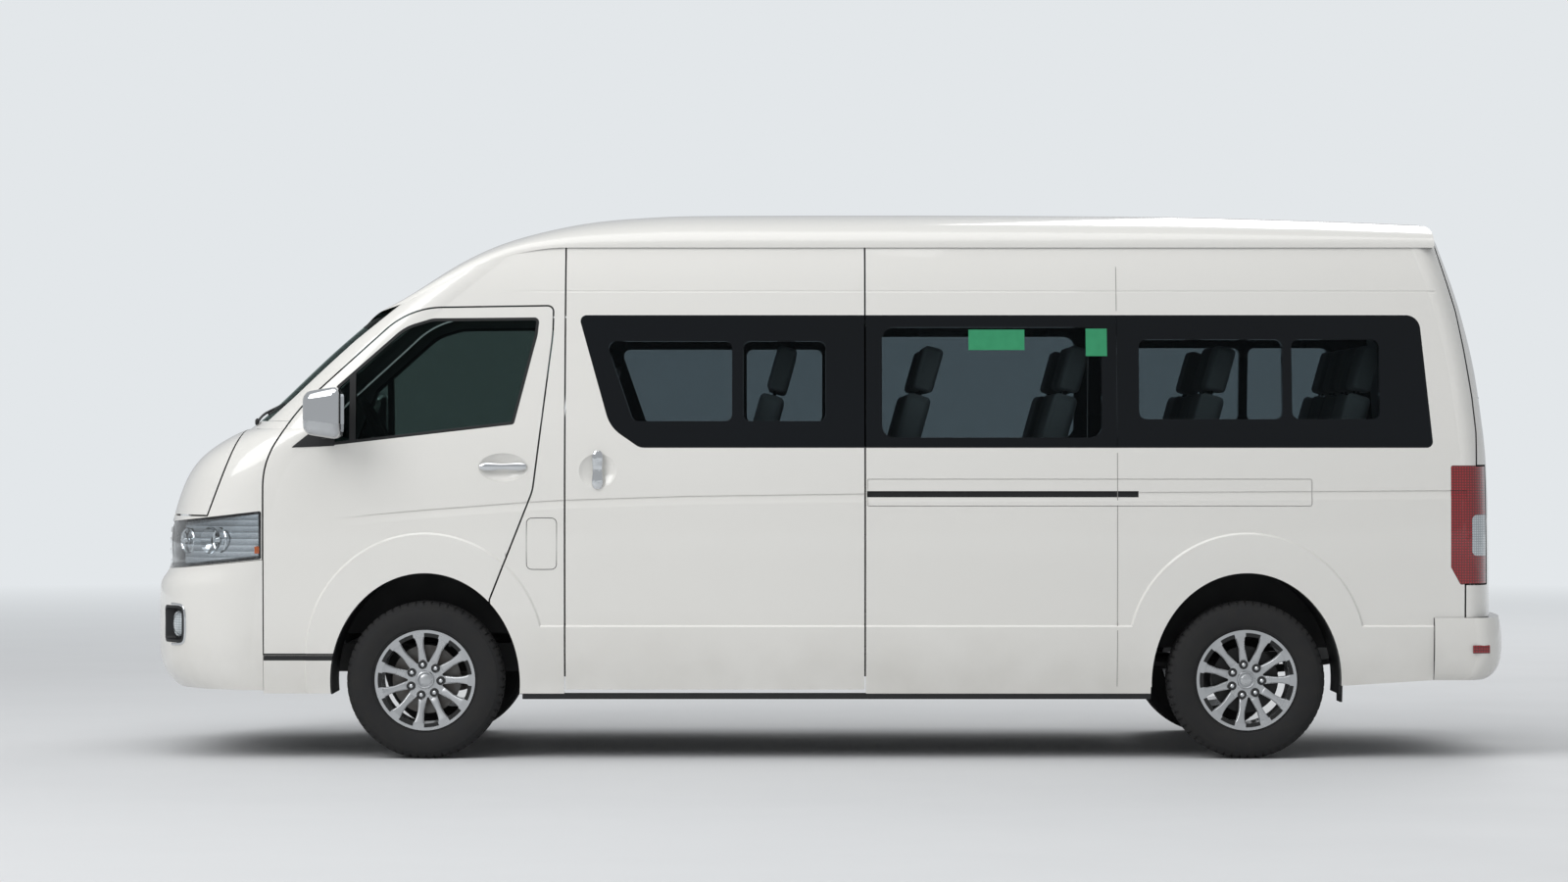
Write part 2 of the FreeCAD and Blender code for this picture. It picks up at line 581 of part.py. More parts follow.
def roof_arch(place_share, drop, shrink):
    """Closed cross section of the roof cap, lowered and narrowed by a distance."""
    place = s.half_length * place_share
    base = s.height * smooth(DRIP_SHARES, place_share)
    crown = s.height * smooth(CROWN_SHARES, place_share) - drop
    half = s.roof_edge - shrink
    rise = max(crown - base, s.glass)
    points = []
    for step in range(-ARC_STEPS, ARC_STEPS + 1):
        angle = step * math.pi / 2 / ARC_STEPS
        across = half * math.copysign(abs(math.sin(angle)) ** (2 / ROOF_POWER), angle)
        up = 0.0 if abs(step) == ARC_STEPS else math.cos(angle) ** (2 / ROOF_POWER)
        points.append(Vector(place, across, base + rise * up))
    curve = Part.BSplineCurve()
    curve.interpolate(points)
    foot = base - s.overrun
    corners = [points[-1], Vector(place, half, foot), Vector(place, -half, foot), points[0]]
    runs = [Part.LineSegment(a, b).toShape() for a, b in zip(corners, corners[1:])]
    return Part.Wire(Part.__sortEdges__([curve.toShape()] + runs))


def dome(drop, shrink):
    """Roof cap's volume, lowered by a distance and narrowed by another."""
    first, last = CROWN_SHARES[0][0], CROWN_SHARES[-1][0]
    stations = [first + (last - first) * step / ROOF_STEPS for step in range(ROOF_STEPS + 1)]
    return Part.makeLoft([roof_arch(share, drop, shrink) for share in stations], True, False)


def drip_wire(y, drop=0.0):
    """Side-view region above the drip line and the tailgate's top edge."""
    points = [side_point(share, y) - Vector(0, 0, drop) for share in DRIP_SHARES[:-3]]
    curve = Part.BSplineCurve()
    curve.interpolate(points)
    tail_top = side_point((0.8860, 0.9580), y) - Vector(0, 0, drop)
    corners = [points[-1], Vector(tail_top.x, y, points[-1].z), tail_top,
               Vector(far, y, tail_top.z), Vector(far, y, high), Vector(-far, y, high),
               Vector(-far, y, points[0].z), points[0]]
    runs = [Part.LineSegment(a, b).toShape() for a, b in zip(corners, corners[1:])]
    return Part.Wire(Part.__sortEdges__([curve.toShape()] + runs))


def above_drip(drop=0.0):
    """Cutter of everything above the drip line."""
    start = -s.half_width - s.overrun
    return prism(drip_wire(start, drop), -2 * start)


def side_face(level):
    """Place along Y of the left side's surface at one height."""
    return -s.half_width * smooth(WIDTH_SHARES, level / s.height)


def crease(table, depth, fall):
    """Cutter of a crease along the left side: sharp above, running out below."""
    sections = []
    for place_share, level_share, part in table:
        place, level = s.half_length * place_share, s.height * level_share
        deep = depth * part
        corners = [Vector(place, side_face(level) - deep, level),
                   Vector(place, side_face(level) + deep, level),
                   Vector(place, side_face(level - fall) - deep / 4, level - fall)]
        sections.append(Part.makePolygon(corners + corners[:1]))
    return Part.makeLoft(sections, True, True)


def grooved(piece, shares):
    """Piece with a narrow shallow groove cut along an outline."""
    ring = left_prism(shares, s.groove / 2).cut(left_prism(shares, -s.groove / 2))
    return piece.cut(ring.cut(hull(s.panel_gap + s.glass)))


def tunnel(y_low, y_high, z_low, z_high, corner, x_low=-far, x_high=far):
    """Cutter along the vehicle with rounded corners."""
    box = block(x_low, x_high, y_low, y_high, z_low, z_high)
    edges = [edge for edge in box.Edges
             if abs(edge.tangentAt(edge.FirstParameter).x) > 1 - s.fit]
    return box.makeFillet(corner, edges)


def grip(start, end, across, half_width, half_depth):
    """Rounded bar between two points, tapered towards its ends."""
    run = end - start
    sections = []
    for place, scale in BAR_SHARES:
        middle = start + run * place
        wide = middle + across * half_width * scale
        deep = middle + Vector(0, half_depth * scale, 0)
        sections.append(Part.Wire(Part.Ellipse(wide, deep, middle).toShape()))
    return Part.makeLoft(sections, True, False)


def scoop(place, level, half_length, half_height):
    """Rounded recess in the left side."""
    depth = s.scoop_depth + s.handle_depth
    ball = Part.makeSphere(half_length)
    stretch = FreeCAD.Matrix()
    stretch.scale(1, depth / half_length, half_height / half_length)
    ball = ball.transformGeometry(stretch)
    ball.translate(Vector(place, side_face(level) - s.handle_depth, level))
    return ball


# Lower body: flares round the wheels and the sill, a little proud with a sloped upper edge.
flare_out = -s.half_width - 2 * s.flare_depth
flare_span = s.wall + 2 * s.flare_depth
flare_tools = [Part.makeCone(s.flare_radius - s.flare_depth,
                             s.flare_radius - s.flare_depth + flare_span, flare_span,
                             Vector(axle, flare_out, s.flare_level), Vector(0, 1, 0))
               for axle in AXLES]
sill_top = s.sill_crease - s.flare_depth
sill_corners = [Vector(-s.front_axle, y, z) for y, z in (
    (flare_out, 0), (flare_out, sill_top), (flare_out + flare_span, sill_top + flare_span),
    (flare_out + flare_span, 0))]
sill_face = Part.Face(Part.makePolygon(sill_corners + sill_corners[:1]))
flare_tools.append(sill_face.extrude(Vector(s.front_axle + s.bumper_front, 0, 0)))
flare_tool = flare_tools[0].fuse(flare_tools[1:])
flares = hull(-s.flare_depth).cut(hull(0.0)).common(left_half).common(flare_tool)
left_shell = left_shell.fuse(flares).removeSplitter()
waist_tool = crease(WAIST_SHARES, s.crease_depth, s.crease_fall)
line_tool = crease(LINE_SHARES, s.line_depth, s.line_fall)
left_shell = left_shell.cut(waist_tool).cut(line_tool)

# Roof: a domed cap, cut at the front by the windscreen's surface and at the rear by the body's.
wide_hull = hull(0.0, s.overrun / 2)
wide_lining = hull(s.wall, s.overrun / 2)
cap = dome(0.0, 0.0).common(wide_hull).common(above_drip())
hollow = dome(s.roof_wall, s.roof_wall).common(wide_lining)
feature("roof", cap.cut(hollow))

roof_tool = above_drip(s.seat_gap)

# Front end: bumper, grille, lamps, bonnet and the panel round them.
NOSE_FRONT_SHARE = -1.02
BUMPER_SHARES = ((NOSE_FRONT_SHARE, 0.1330), (-0.95, 0.1265), (-0.8205, 0.1239),
                 (-0.8205, 0.3605), (-0.9650, 0.3425), (NOSE_FRONT_SHARE, 0.3425))
NOSE_SHARES = ((NOSE_FRONT_SHARE, 0.3435), (-0.9650, 0.3435), (-0.8205, 0.3615),
               (-0.8205, 0.4500), (-0.7600, 0.6120), (NOSE_FRONT_SHARE, 0.6120))
GRILLE_SHARES = ((NOSE_FRONT_SHARE, 0.3435), (-0.9655, 0.3435), (-0.9655, 0.4330),
                 (NOSE_FRONT_SHARE, 0.4330))
HANGER_SHARES = (0.2, 0.8)
GRILLE_SLOT_SHARES = (0.3560, 0.3760, 0.3960, 0.4160)
GRILLE_SLOT_HEIGHT_SHARE = 0.0120
INTAKE_SHARES = ((NOSE_FRONT_SHARE, 0.1750), (-0.96, 0.1750), (-0.96, 0.2250),
                 (NOSE_FRONT_SHARE, 0.2250))

bumper = shell.common(full_prism(BUMPER_SHARES))
intake_half = s.half_width * 0.5
intake = full_prism(INTAKE_SHARES).common(block(-far, 0, -intake_half, intake_half, 0, high))
bumper = bumper.cut(intake)


def fog_tunnel(grow):
    """Cutter of the left fog lamp's opening, grown by a distance."""
    return tunnel(-s.fog_inner - s.fog_width - grow, -s.fog_inner + grow, s.fog_low - grow,
                  s.fog_low + s.fog_height + grow, s.fog_corner + grow, -far, -s.front_axle)


fog_tool = fog_tunnel(s.seat_gap)
feature("front_bumper", bumper.cut(fog_tool).cut(mirrored(fog_tool)))
sunk_hull = hull(0.0).translated(Vector(s.lamp_hollow, s.lamp_hollow, 0))
fog = shell.common(fog_tunnel(0.0)).cut(fog_tunnel(-s.lamp_rim).cut(sunk_hull))
feature("fog_lamps", Part.makeCompound([fog, mirrored(fog)]))

door_tool = left_prism(DOOR_SHARES, s.shut_gap / 2)
doors_tool = Part.makeCompound([door_tool, mirrored(door_tool)])
bonnet_tool = full_prism(BONNET_SHARES, s.shut_gap / 2)
lamp_tool = left_prism(HEADLAMP_SHARES, s.panel_gap)
grille_tool = full_prism(GRILLE_SHARES, s.panel_gap)
nose = shell.common(full_prism(NOSE_SHARES)).cut(door_tool).cut(mirrored(door_tool))
nose = nose.cut(bonnet_tool).cut(lamp_tool).cut(mirrored(lamp_tool)).cut(grille_tool)
stop_top = s.height * BONNET_SHARES[0][1] + s.shut_gap / 2 - s.seat_gap
stop_low = s.height * GRILLE_SHARES[2][1] + s.panel_gap
stop_front = s.half_length * smooth(FRONT_SHARES, BONNET_SHARES[0][1]) + s.wall / 2
for side in (-1, 1):
    nose = nose.fuse(Part.makeCylinder(s.stop_radius, stop_top - stop_low,
                                       Vector(stop_front, side * s.stop_side, stop_low)))
feature("nose_panel", nose)
feature("bonnet", shell.common(full_prism(BONNET_SHARES, -s.shut_gap / 2)))
grille = shell.common(full_prism(GRILLE_SHARES))
for slot_share in GRILLE_SLOT_SHARES:
    bottom = s.height * slot_share
    slot = block(-far, 0, -s.grille_half_width, s.grille_half_width,
                 bottom, bottom + s.height * GRILLE_SLOT_HEIGHT_SHARE)
    grille = grille.cut(slot)
feature("grille", grille)
lens = left_glazing.common(left_prism(HEADLAMP_SHARES))
feature("headlamps", Part.makeCompound([lens, mirrored(lens)]))
lamp = left_shell.common(left_prism(HEADLAMP_SHARES))
lamp = lamp.common(hull(s.panel_gap + s.glass))
lamp_inside = left_prism(HEADLAMP_SHARES, -s.lamp_rim)
rim = lamp.cut(lamp_inside)
feature("headlamp_rims", Part.makeCompound([rim, mirrored(rim)]))
unit = lamp.common(left_prism(HEADLAMP_SHARES, -s.lamp_rim - s.seat_gap))
unit = unit.cut(unit.cut(sunk_hull))
for place_share, level_share, size_share in BOWL_SHARES:
    place, level = s.half_length * place_share, s.height * level_share
    depth_share = (place - s.half_length * FRONT_SHARES[8][1]) / (
        s.half_length * smooth(CORNER_SHARES, level_share))
    bowl_y = side_face(level) * (1 - max(1 - depth_share, 0) ** REAR_POWER) ** (1 / REAR_POWER)
    ball = Part.makeSphere(s.bowl_radius * size_share, Vector(place, bowl_y, level))
    unit = unit.cut(ball)
feature("headlamp_units", Part.makeCompound([unit, mirrored(unit)]))

# Sides, made on the left and mirrored.
side_front_shares = (
    (-0.8200, 0.1182), (-0.8200, 0.1895), (-0.7600, 0.6125), (-0.8195, 0.6125),
    *SCREEN_EDGE_SHARES[1:], (-0.6270, 0.95), (-0.3833, 0.95), (-0.3833, 0.1182),
)
SIDE_REAR_SHARES = (
    (0.0552, 0.1182), (0.4690, 0.1182), (0.4690, 0.1300), (0.7513, 0.1326), (0.8790, 0.1427),
    (0.8790, 0.2560), (0.9246, 0.2560), (0.9246, 0.3165), (0.9594, 0.3165), (0.9594, 0.5313),
    (0.9500, 0.5313), (0.9500, 0.97), (0.0552, 0.97),
)
tail_lamp_tool = left_prism(TAIL_LAMP_SHARES, s.panel_gap)
band_tool = left_prism(BAND_SHARES, s.seat_gap)
tailgate_tool = full_prism(TAILGATE_SHARES, s.shut_gap / 2)
side = left_shell.common(left_prism(side_front_shares)).cut(door_tool)
side = side.cut(left_prism(STEP_SHARES, s.seat_gap))
side_rear = left_shell.common(left_prism(SIDE_REAR_SHARES))
side_rear = side_rear.cut(band_tool).cut(tail_lamp_tool).cut(tailgate_tool)
pillar = s.half_width * REAR_PILLAR_SHARE
side_rear = side_rear.cut(block(-far, far, -pillar, 0, 0, high))
side = side.cut(roof_tool)
side_rear = grooved(side_rear.cut(left_prism(TRACK_SHARES)), COVER_SHARES)
side_solids, right_solids = [], []
for piece in (side, side_rear):
    piece = piece.cut(roof_tool)
    for axle in AXLES:
        piece = piece.cut(arch(axle))
    right_solids += [mirrored(solid) for solid in piece.Solids]
    side_solids += piece.Solids if piece is not None else []
side_solids = [grooved(solid, FUEL_FLAP_SHARES) if solid.BoundBox.XMax < 0 else solid
               for solid in side_solids]
feature("side_left", Part.makeCompound(side_solids))
feature("side_right", Part.makeCompound(right_solids))
tracks = [boxed(f"Track{side_name}",
                (f"Sizes.half_length * {TRACK_SHARES[0][0]} + Sizes.seat_gap", track_y,
                 f"Sizes.height * {TRACK_SHARES[0][1]} + Sizes.seat_gap"),
                f"Sizes.half_length * {TRACK_SHARES[2][0] - TRACK_SHARES[0][0]}"
                " - 2 * Sizes.seat_gap", "Sizes.wall - Sizes.track_depth",
                f"Sizes.height * {TRACK_SHARES[1][1] - TRACK_SHARES[0][1]}"
                " - 2 * Sizes.seat_gap")
          for side_name, track_y in (("Left", "-Sizes.half_width + Sizes.track_depth"),
                                     ("Right", "Sizes.half_width - Sizes.wall"))]
slider_tracks = doc.addObject("Part::Compound", "slider_tracks")
slider_tracks.Label = "slider_tracks"
slider_tracks.Links = tracks

slider = left_shell.common(left_prism(SLIDER_SHARES, -s.shut_gap / 2))
slider = slider.cut(roof_tool).cut(band_tool)
slider = slider.cut(scoop(-s.pull_front, s.pull_level, s.pull_scoop / 2, s.pull_length * 0.52))
pull_middle = Vector(-s.pull_front, side_face(s.pull_level) - s.handle_lift, s.pull_level)
pull_half = Vector(0, 0, s.pull_length / 2)
pull = grip(pull_middle - pull_half, pull_middle + pull_half, Vector(1, 0, 0),
            s.pull_width / 2, s.handle_depth / 2)
for place in (-0.7, 0.7):
    pull = pull.fuse(Part.makeCylinder(s.handle_post, s.wall, pull_middle + pull_half * place,
                                       Vector(0, 1, 0)).cut(slider).common(hull(-s.wall))
                     .common(Part.makeCylinder(s.handle_post, s.scoop_depth + s.handle_lift,
                                               pull_middle + pull_half * place,
                                               Vector(0, 1, 0))))
pull = pull.cut(slider)
feature("slider_handles", Part.makeCompound([pull, mirrored(pull)]))
feature("sliding_door_left", slider)
feature("sliding_door_right", mirrored(slider))

# Window bands and panes.
pane_tools = [left_prism(shares, s.seat_gap) for shares in PANE_SHARES]
split_low, split_high = (s.half_length * share for share in BAND_SPLIT_SHARES)
band = left_shell.common(left_prism(BAND_SHARES))
band_ranges = ((-far, split_low - s.shut_gap / 2), (split_low + s.shut_gap / 2, split_high
               - s.panel_gap), (split_high + s.panel_gap, far))
bands = []
for low, top in band_ranges:
    piece = band.common(block(low, top, -s.half_width - s.overrun, 0, 0, high))
    for tool in pane_tools:
        piece = piece.cut(tool)
    bands += piece.Solids
bands = Part.makeCompound(bands)
feature("window_bands", Part.makeCompound([bands, mirrored(bands)]))
panes = Part.makeCompound([left_glazing.common(left_prism(shares)) for shares in PANE_SHARES])
feature("window_panes", Part.makeCompound([panes, mirrored(panes)]))

# Front doors with their glass.
door = left_shell.common(left_prism(DOOR_SHARES, -s.shut_gap / 2))
door = door.cut(arch(-s.front_axle)).cut(left_prism(DOOR_WINDOW_SHARES, s.seat_gap))
handle_middle = Vector(-s.handle_rear - s.handle_length / 2,
                       side_face(s.handle_level) - s.handle_lift, s.handle_level)
door = door.cut(scoop(handle_middle.x, s.handle_level, s.scoop_length / 2, s.scoop_height / 2))
handle_half = Vector(s.handle_length / 2, 0, 0)
handle = grip(handle_middle - handle_half, handle_middle + handle_half, Vector(0, 0, 1),
              s.handle_height / 2, s.handle_depth / 2)
for place in (-0.7, 0.7):
    post = Part.makeCylinder(s.handle_post, s.scoop_depth + s.handle_lift,
                             handle_middle + handle_half * place, Vector(0, 1, 0))
    handle = handle.fuse(post)
handle = handle.cut(door)
feature("door_handle_left", handle)
feature("door_handle_right", mirrored(handle))
window_inside = left_prism(DOOR_WINDOW_SHARES, -s.seal_width)
quarter_bar = left_prism(QUARTER_BAR_SHARES)
seal = left_prism(DOOR_WINDOW_SHARES).cut(window_inside.cut(quarter_bar))
seal = left_shell.common(seal)
feature("door_seal_left", seal)
feature("door_seal_right", mirrored(seal))
door_glass = left_glazing.common(left_prism(DOOR_WINDOW_SHARES, -s.seal_width - s.seat_gap))
door_glass = door_glass.cut(left_prism(QUARTER_BAR_SHARES, s.seat_gap))
feature("door_left", door)
feature("door_right", mirrored(door))
feature("door_glass_left", door_glass)
feature("door_glass_right", mirrored(door_glass))

# Windscreen, between the cowl, the pillars and the roof.
screen_shares = ((NOSE_FRONT_SHARE, 0.6129), (-0.8203, 0.6129),
                 *SCREEN_EDGE_SHARES[1:], (-0.6270, 0.95), (NOSE_FRONT_SHARE, 0.95))
screen = glazing.common(full_prism(screen_shares, -s.seat_gap)).cut(roof_tool)
feature("windscreen", screen)

# Tail end: lamps, tailgate with its glass, and the bumper.
tail_lamp = left_shell.common(left_prism(TAIL_LAMP_SHARES)).cut(tailgate_tool)
reverse_tool = left_prism(REVERSE_SHARES)
reverse = tail_lamp.common(reverse_tool)
tail_lamp = tail_lamp.cut(left_prism(REVERSE_SHARES, s.seat_gap))
feature("tail_lamps", Part.makeCompound([tail_lamp, mirrored(tail_lamp)]))
feature("reverse_lamps", Part.makeCompound([reverse, mirrored(reverse)]))
window_front, window_low, window_high, window_corner = TAILGATE_WINDOW_SHARES
window_half = s.half_width * 0.74


def rear_window(grow):
    """Cutter of the tailgate's window with rounded corners."""
    low, top = s.height * window_low - grow, s.height * window_high + grow
    return tunnel(-window_half - grow, window_half + grow, low, top, s.height * window_corner,
                  s.half_length * window_front)


tailgate = shell.common(full_prism(TAILGATE_SHARES, -s.shut_gap / 2))
tailgate = tailgate.cut(rear_window(s.seat_gap))
feature("tailgate", tailgate)
feature("tailgate_glass", glazing.common(rear_window(0.0)))

# Rear bumper: its own hollow loft, a little proud of the body.
REAR_BUMPER_SHARES = (
    (0.1427, 0.9790, 0.965), (0.1710, 0.9970, 0.992), (0.1993, 1.0, 1.0), (0.2276, 0.9995, 1.0),
    (0.2560, 0.9960, 0.993),
)


def bumper_section(shares, inset):
    """Plan outline of the rear bumper at one height."""
    level_share, rear_share, width_share = shares
    level = s.height * level_share
    half = s.bumper_half_width * width_share - inset
    depth = s.rear_corner - inset / 2
    rear = s.half_length * rear_share - inset
    front = s.bumper_front - (s.overrun if inset else 0.0)
    tail = plan_arc(rear - depth, depth, half, level)
    corners = [Vector(rear - depth, half, level), Vector(front, half, level),
               Vector(front, -half, level), Vector(rear - depth, -half, level)]
    runs = [Part.LineSegment(a, b).toShape() for a, b in zip(corners, corners[1:])]
    return Part.Wire(Part.__sortEdges__([tail] + runs))


outer, inner = (Part.makeLoft([bumper_section(row, inset) for row in REAR_BUMPER_SHARES],
                              True, False) for inset in (0.0, s.wall))
feature("rear_bumper", outer.cut(inner))

# Black trims under the doors and along the sills.
trims = []
for shares in (SILL_SHARES, STEP_SHARES):
    trim = left_shell.common(left_prism(shares)).cut(arch(-s.front_axle)).cut(arch(s.rear_axle))
    trims += trim.Solids
trims = Part.makeCompound(trims)
feature("sill_trims", Part.makeCompound([trims, mirrored(trims)]))

# Cabin floor: bulkhead, footwell, platform over the engine and the long passenger floor.
front, platform, rear = -s.platform_front, s.platform_top, -s.platform_rear
thick = s.floor_wall
floor_points = (
    (-s.bulkhead_front, s.step_top - thick), (front, s.step_top - thick),
    (front, platform - thick), (rear - thick, platform - thick),
    (rear - thick, s.floor_top - thick), (s.floor_rear, s.floor_top - thick),
    (s.floor_rear, s.floor_top), (rear, s.floor_top), (rear, platform),
    (front - thick, platform), (front - thick, s.step_top), (thick - s.bulkhead_front, s.step_top),
    (thick - s.bulkhead_front, s.bulkhead_top), (-s.bulkhead_front, s.bulkhead_top),
)
start = -s.half_width - s.overrun
corners = [Vector(x, start, z) for x, z in floor_points]
floor = prism(Part.makePolygon(corners + corners[:1]), -2 * start).common(lining)
for axle in AXLES:
    tool = arch(axle, s.liner_wall + s.seat_gap, s.liner_wall + s.seat_gap)
    floor = floor.cut(tool).cut(mirrored(tool))
feature("floor", floor)

# Wheel liners: arched walls with a closed inner side above the axle.
liners = []
for axle in AXLES:
    liner = arch(axle, s.liner_wall, s.liner_wall).cut(arch(axle)).common(lining)
    open_side = block(axle - s.half_length, axle + s.half_length, -s.liner_inner - s.liner_wall,
                      0, 0, s.liner_open)
    liner = liner.cut(open_side)
    bottom = block(axle - s.half_length, axle + s.half_length, -far, 0, 0, s.rail_bottom * 0.6)
    liners += liner.cut(bottom).Solids
flap_front = s.rear_axle + s.arch_reach + s.liner_wall + s.seat_gap
flap_outer = s.half_width - s.wall - s.shut_gap
flap = block(flap_front, flap_front + s.flap_wall, -flap_outer, -flap_outer + s.flap_width,
             s.flap_low, s.flap_low + s.flap_height)
liners.append(flap.common(hull(s.wall + s.shut_gap)))
liners = Part.makeCompound(liners)
feature("wheel_liners", Part.makeCompound([liners, mirrored(liners)]))

# Dashboard across the cab, under the windscreen.
DASH_SHARES = (
    (-0.8700, 0.4900), (-0.8050, 0.3650), (-0.7750, 0.3700), (-0.7450, 0.4500),
    (-0.7150, 0.5250), (-0.7250, 0.5700), (-0.7700, 0.5850), (-0.8600, 0.5870),
)
dash = full_prism(DASH_SHARES).common(hull(s.wall + s.dash_gap))
dash_front = block(-far, -s.bulkhead_front + thick + s.seat_gap, -far, far, 0, s.bulkhead_top
                   + s.seat_gap)
lean = math.radians(s.steer_lean)
steer_hub = Vector(-s.steer_front, -s.steer_side, s.steer_level)
steer_axis = Vector(math.sin(lean), 0, math.cos(lean))
column_top = steer_hub - steer_axis * (s.wheel_grip * 2 + s.seat_gap)
column = Part.makeCylinder(s.column_radius, s.column_length, column_top, -steer_axis)
feature("dashboard", dash.cut(dash_front).fuse(column))

# Steering wheel: a ring with a hub and three spokes, leaning towards the driver.
wheel_parts = [
    primitive("Part::Torus", "SteeringRing", ("0", "0", "0"), Radius1="Sizes.wheel_rim",
              Radius2="Sizes.wheel_grip"),
    rod("SteeringBoss", ("0", "0", "-Sizes.wheel_grip * 2"), "Sizes.wheel_boss",
        "Sizes.wheel_grip * 3"),
]
for index, angle in enumerate((0, 120, 240)):
    wheel_parts.append(primitive("Part::Box", f"SteeringSpoke{index}", ("0", "0", "0"),
                                 (Vector(0, 0, 1), angle), Length="Sizes.wheel_rim",
                                 Width="Sizes.wheel_grip", Height="Sizes.wheel_grip * 0.7"))
steering_wheel = fused("steering_wheel", wheel_parts)
steering_wheel.Placement = FreeCAD.Placement(Vector(), Rotation(Vector(0, 1, 0), s.steer_lean))
for axis, formula in zip("xyz", ("-Sizes.steer_front", "-Sizes.steer_side",
                                 "Sizes.steer_level")):
    steering_wheel.setExpression(f".Placement.Base.{axis}", formula)


# Seats: one profile for the passengers and the cab, swept across a seat's width.
def seat(front_edge, middle, base, width, cushion_level):
    """One seat with cushion, leaning backrest, head restraint and leg frame."""
    cushion = base + cushion_level
    sit = cushion + s.cushion_height
    back = front_edge + s.seat_depth
    top = sit + s.back_height
    profile = ((front_edge, cushion), (back + s.back_depth, cushion),
               (back + s.back_depth, sit), (back + s.back_depth + s.back_lean, top),
               (back + s.back_lean, top), (back, sit), (front_edge, sit))
    corners = [Vector(x, middle - width / 2, z) for x, z in profile]
    body = prism(Part.makePolygon(corners + corners[:1]), width)
    for side in (-1, 1):
        foot = middle + side * (width / 2 - s.leg_inset)
        body = body.fuse(block(front_edge + s.leg_inset, back, foot - s.leg_width / 2,
                               foot + s.leg_width / 2, base, cushion))
    return body.removeSplitter()


rows = [s.row_first + s.row_pitch * index for index in range(5)]
left_seats, right_seats = [], []
for index, row in enumerate(rows):
    middle = (-s.seat_outer - s.seat_outer + s.seat_pitch) / 2
    pair = seat(row, middle, s.floor_top, s.seat_width + s.seat_pitch, s.cushion_level)
    left_seats.append(pair)
    if index == len(rows) - 1:
        right_seats.append(mirrored(pair))
    else:
        right_seats.append(seat(row, s.seat_outer, s.floor_top, s.seat_width, s.cushion_level))
wheel_box = arch(s.rear_axle, s.liner_wall + s.seat_gap, s.liner_wall + s.seat_gap)
feature("seats_left", Part.makeCompound([item.cut(wheel_box) for item in left_seats]))
feature("seats_right", Part.makeCompound([item.cut(mirrored(wheel_box))
                                          for item in right_seats]))
driver = seat(s.cab_row, -s.steer_side, s.platform_top, s.seat_width, s.cab_cushion_level)
bench_width = s.seat_width + s.seat_pitch
bench = seat(s.cab_row, bench_width / 2, s.platform_top, bench_width, s.cab_cushion_level)
feature("cab_seats", Part.makeCompound([driver, bench]))

# Engine, one plain block between the rails.
engine = boxed("engine", ("-Sizes.engine_front", "-Sizes.engine_width / 2",
                          "Sizes.engine_bottom"),
               "Sizes.engine_length", "Sizes.engine_width", "Sizes.engine_height")
engine.Label = "engine"

# Under-frame: rails, cross members, suspension arms and the rear towing lug.
members = []
front_level = "Sizes.rail_bottom - Sizes.rail_drop"
arm_low = "Sizes.tyre_radius - Sizes.kingpin_reach - Sizes.seat_gap - Sizes.arm_depth"
arm_high = "Sizes.tyre_radius + Sizes.kingpin_reach + Sizes.seat_gap"
arm_start = "Sizes.rail_inner + Sizes.rail_width + Sizes.seat_gap"
arm_end = "Sizes.wheel_track - Sizes.kingpin_inset + Sizes.kingpin_radius"
for side_name, sign in (("Left", "-"), ("Right", "")):
    inner = "-Sizes.rail_inner - Sizes.rail_width" if sign else "Sizes.rail_inner"
    members.append(boxed(f"Rail{side_name}", ("-Sizes.platform_rear", inner,
                                              "Sizes.rail_bottom"),
                         "Sizes.platform_rear + Sizes.rail_rear", "Sizes.rail_width",
                         "Sizes.floor_top - Sizes.floor_wall - Sizes.rail_bottom"
                         " - Sizes.seat_gap"))
    members.append(boxed(f"FrontRail{side_name}", ("-Sizes.rail_front", inner, front_level),
                         "Sizes.rail_front - Sizes.platform_rear - Sizes.seat_gap",
                         "Sizes.rail_width", "Sizes.step_top - Sizes.floor_wall"
                         f" - Sizes.seat_gap - ({front_level})"))
    for level_name, level in (("Lower", arm_low), ("Upper", arm_high)):
        low_y = f"-({arm_end})" if sign else arm_start
        members.append(boxed(f"Arm{level_name}{side_name}",
                             ("-Sizes.front_axle - Sizes.arm_width / 2", low_y, level),
                             "Sizes.arm_width", f"{arm_end} - ({arm_start})",
                             "Sizes.arm_depth"))
    members.append(boxed(f"ArmHanger{side_name}",
                         ("-Sizes.front_axle - Sizes.arm_width / 2", inner, arm_low),
                         "Sizes.arm_width", "Sizes.rail_width",
                         f"{front_level} - Sizes.seat_gap - ({arm_low})"))
member_places = (
    ("-Sizes.rail_front", front_level),
    ("-Sizes.engine_front - Sizes.seat_gap - Sizes.member_length", front_level),
    ("-Sizes.platform_rear + Sizes.member_length", "Sizes.rail_bottom"),
    ("Sizes.tank_front - Sizes.member_length", "Sizes.rail_bottom"),
    ("Sizes.tank_front + Sizes.tank_length", "Sizes.rail_bottom"),
    ("Sizes.rear_axle + Sizes.spring_reach", "Sizes.rail_bottom"),
    ("Sizes.rail_rear - Sizes.member_length", "Sizes.rail_bottom"),
)
for index, (place, level) in enumerate(member_places):
    members.append(boxed(f"Member{index}",
                         (place, "-Sizes.rail_inner + Sizes.seat_gap", level),
                         "Sizes.member_length", "2 * (Sizes.rail_inner - Sizes.seat_gap)",
                         "Sizes.member_height"))
lug_plate = boxed("LugPlate", ("Sizes.rail_rear - Sizes.tow_width",
                               "-Sizes.rail_inner - Sizes.rail_width / 2 - Sizes.tow_width / 2",
                               "Sizes.rail_bottom - Sizes.tow_plate - Sizes.seat_gap"),
                  "Sizes.tow_length", "Sizes.tow_width", "Sizes.tow_plate")
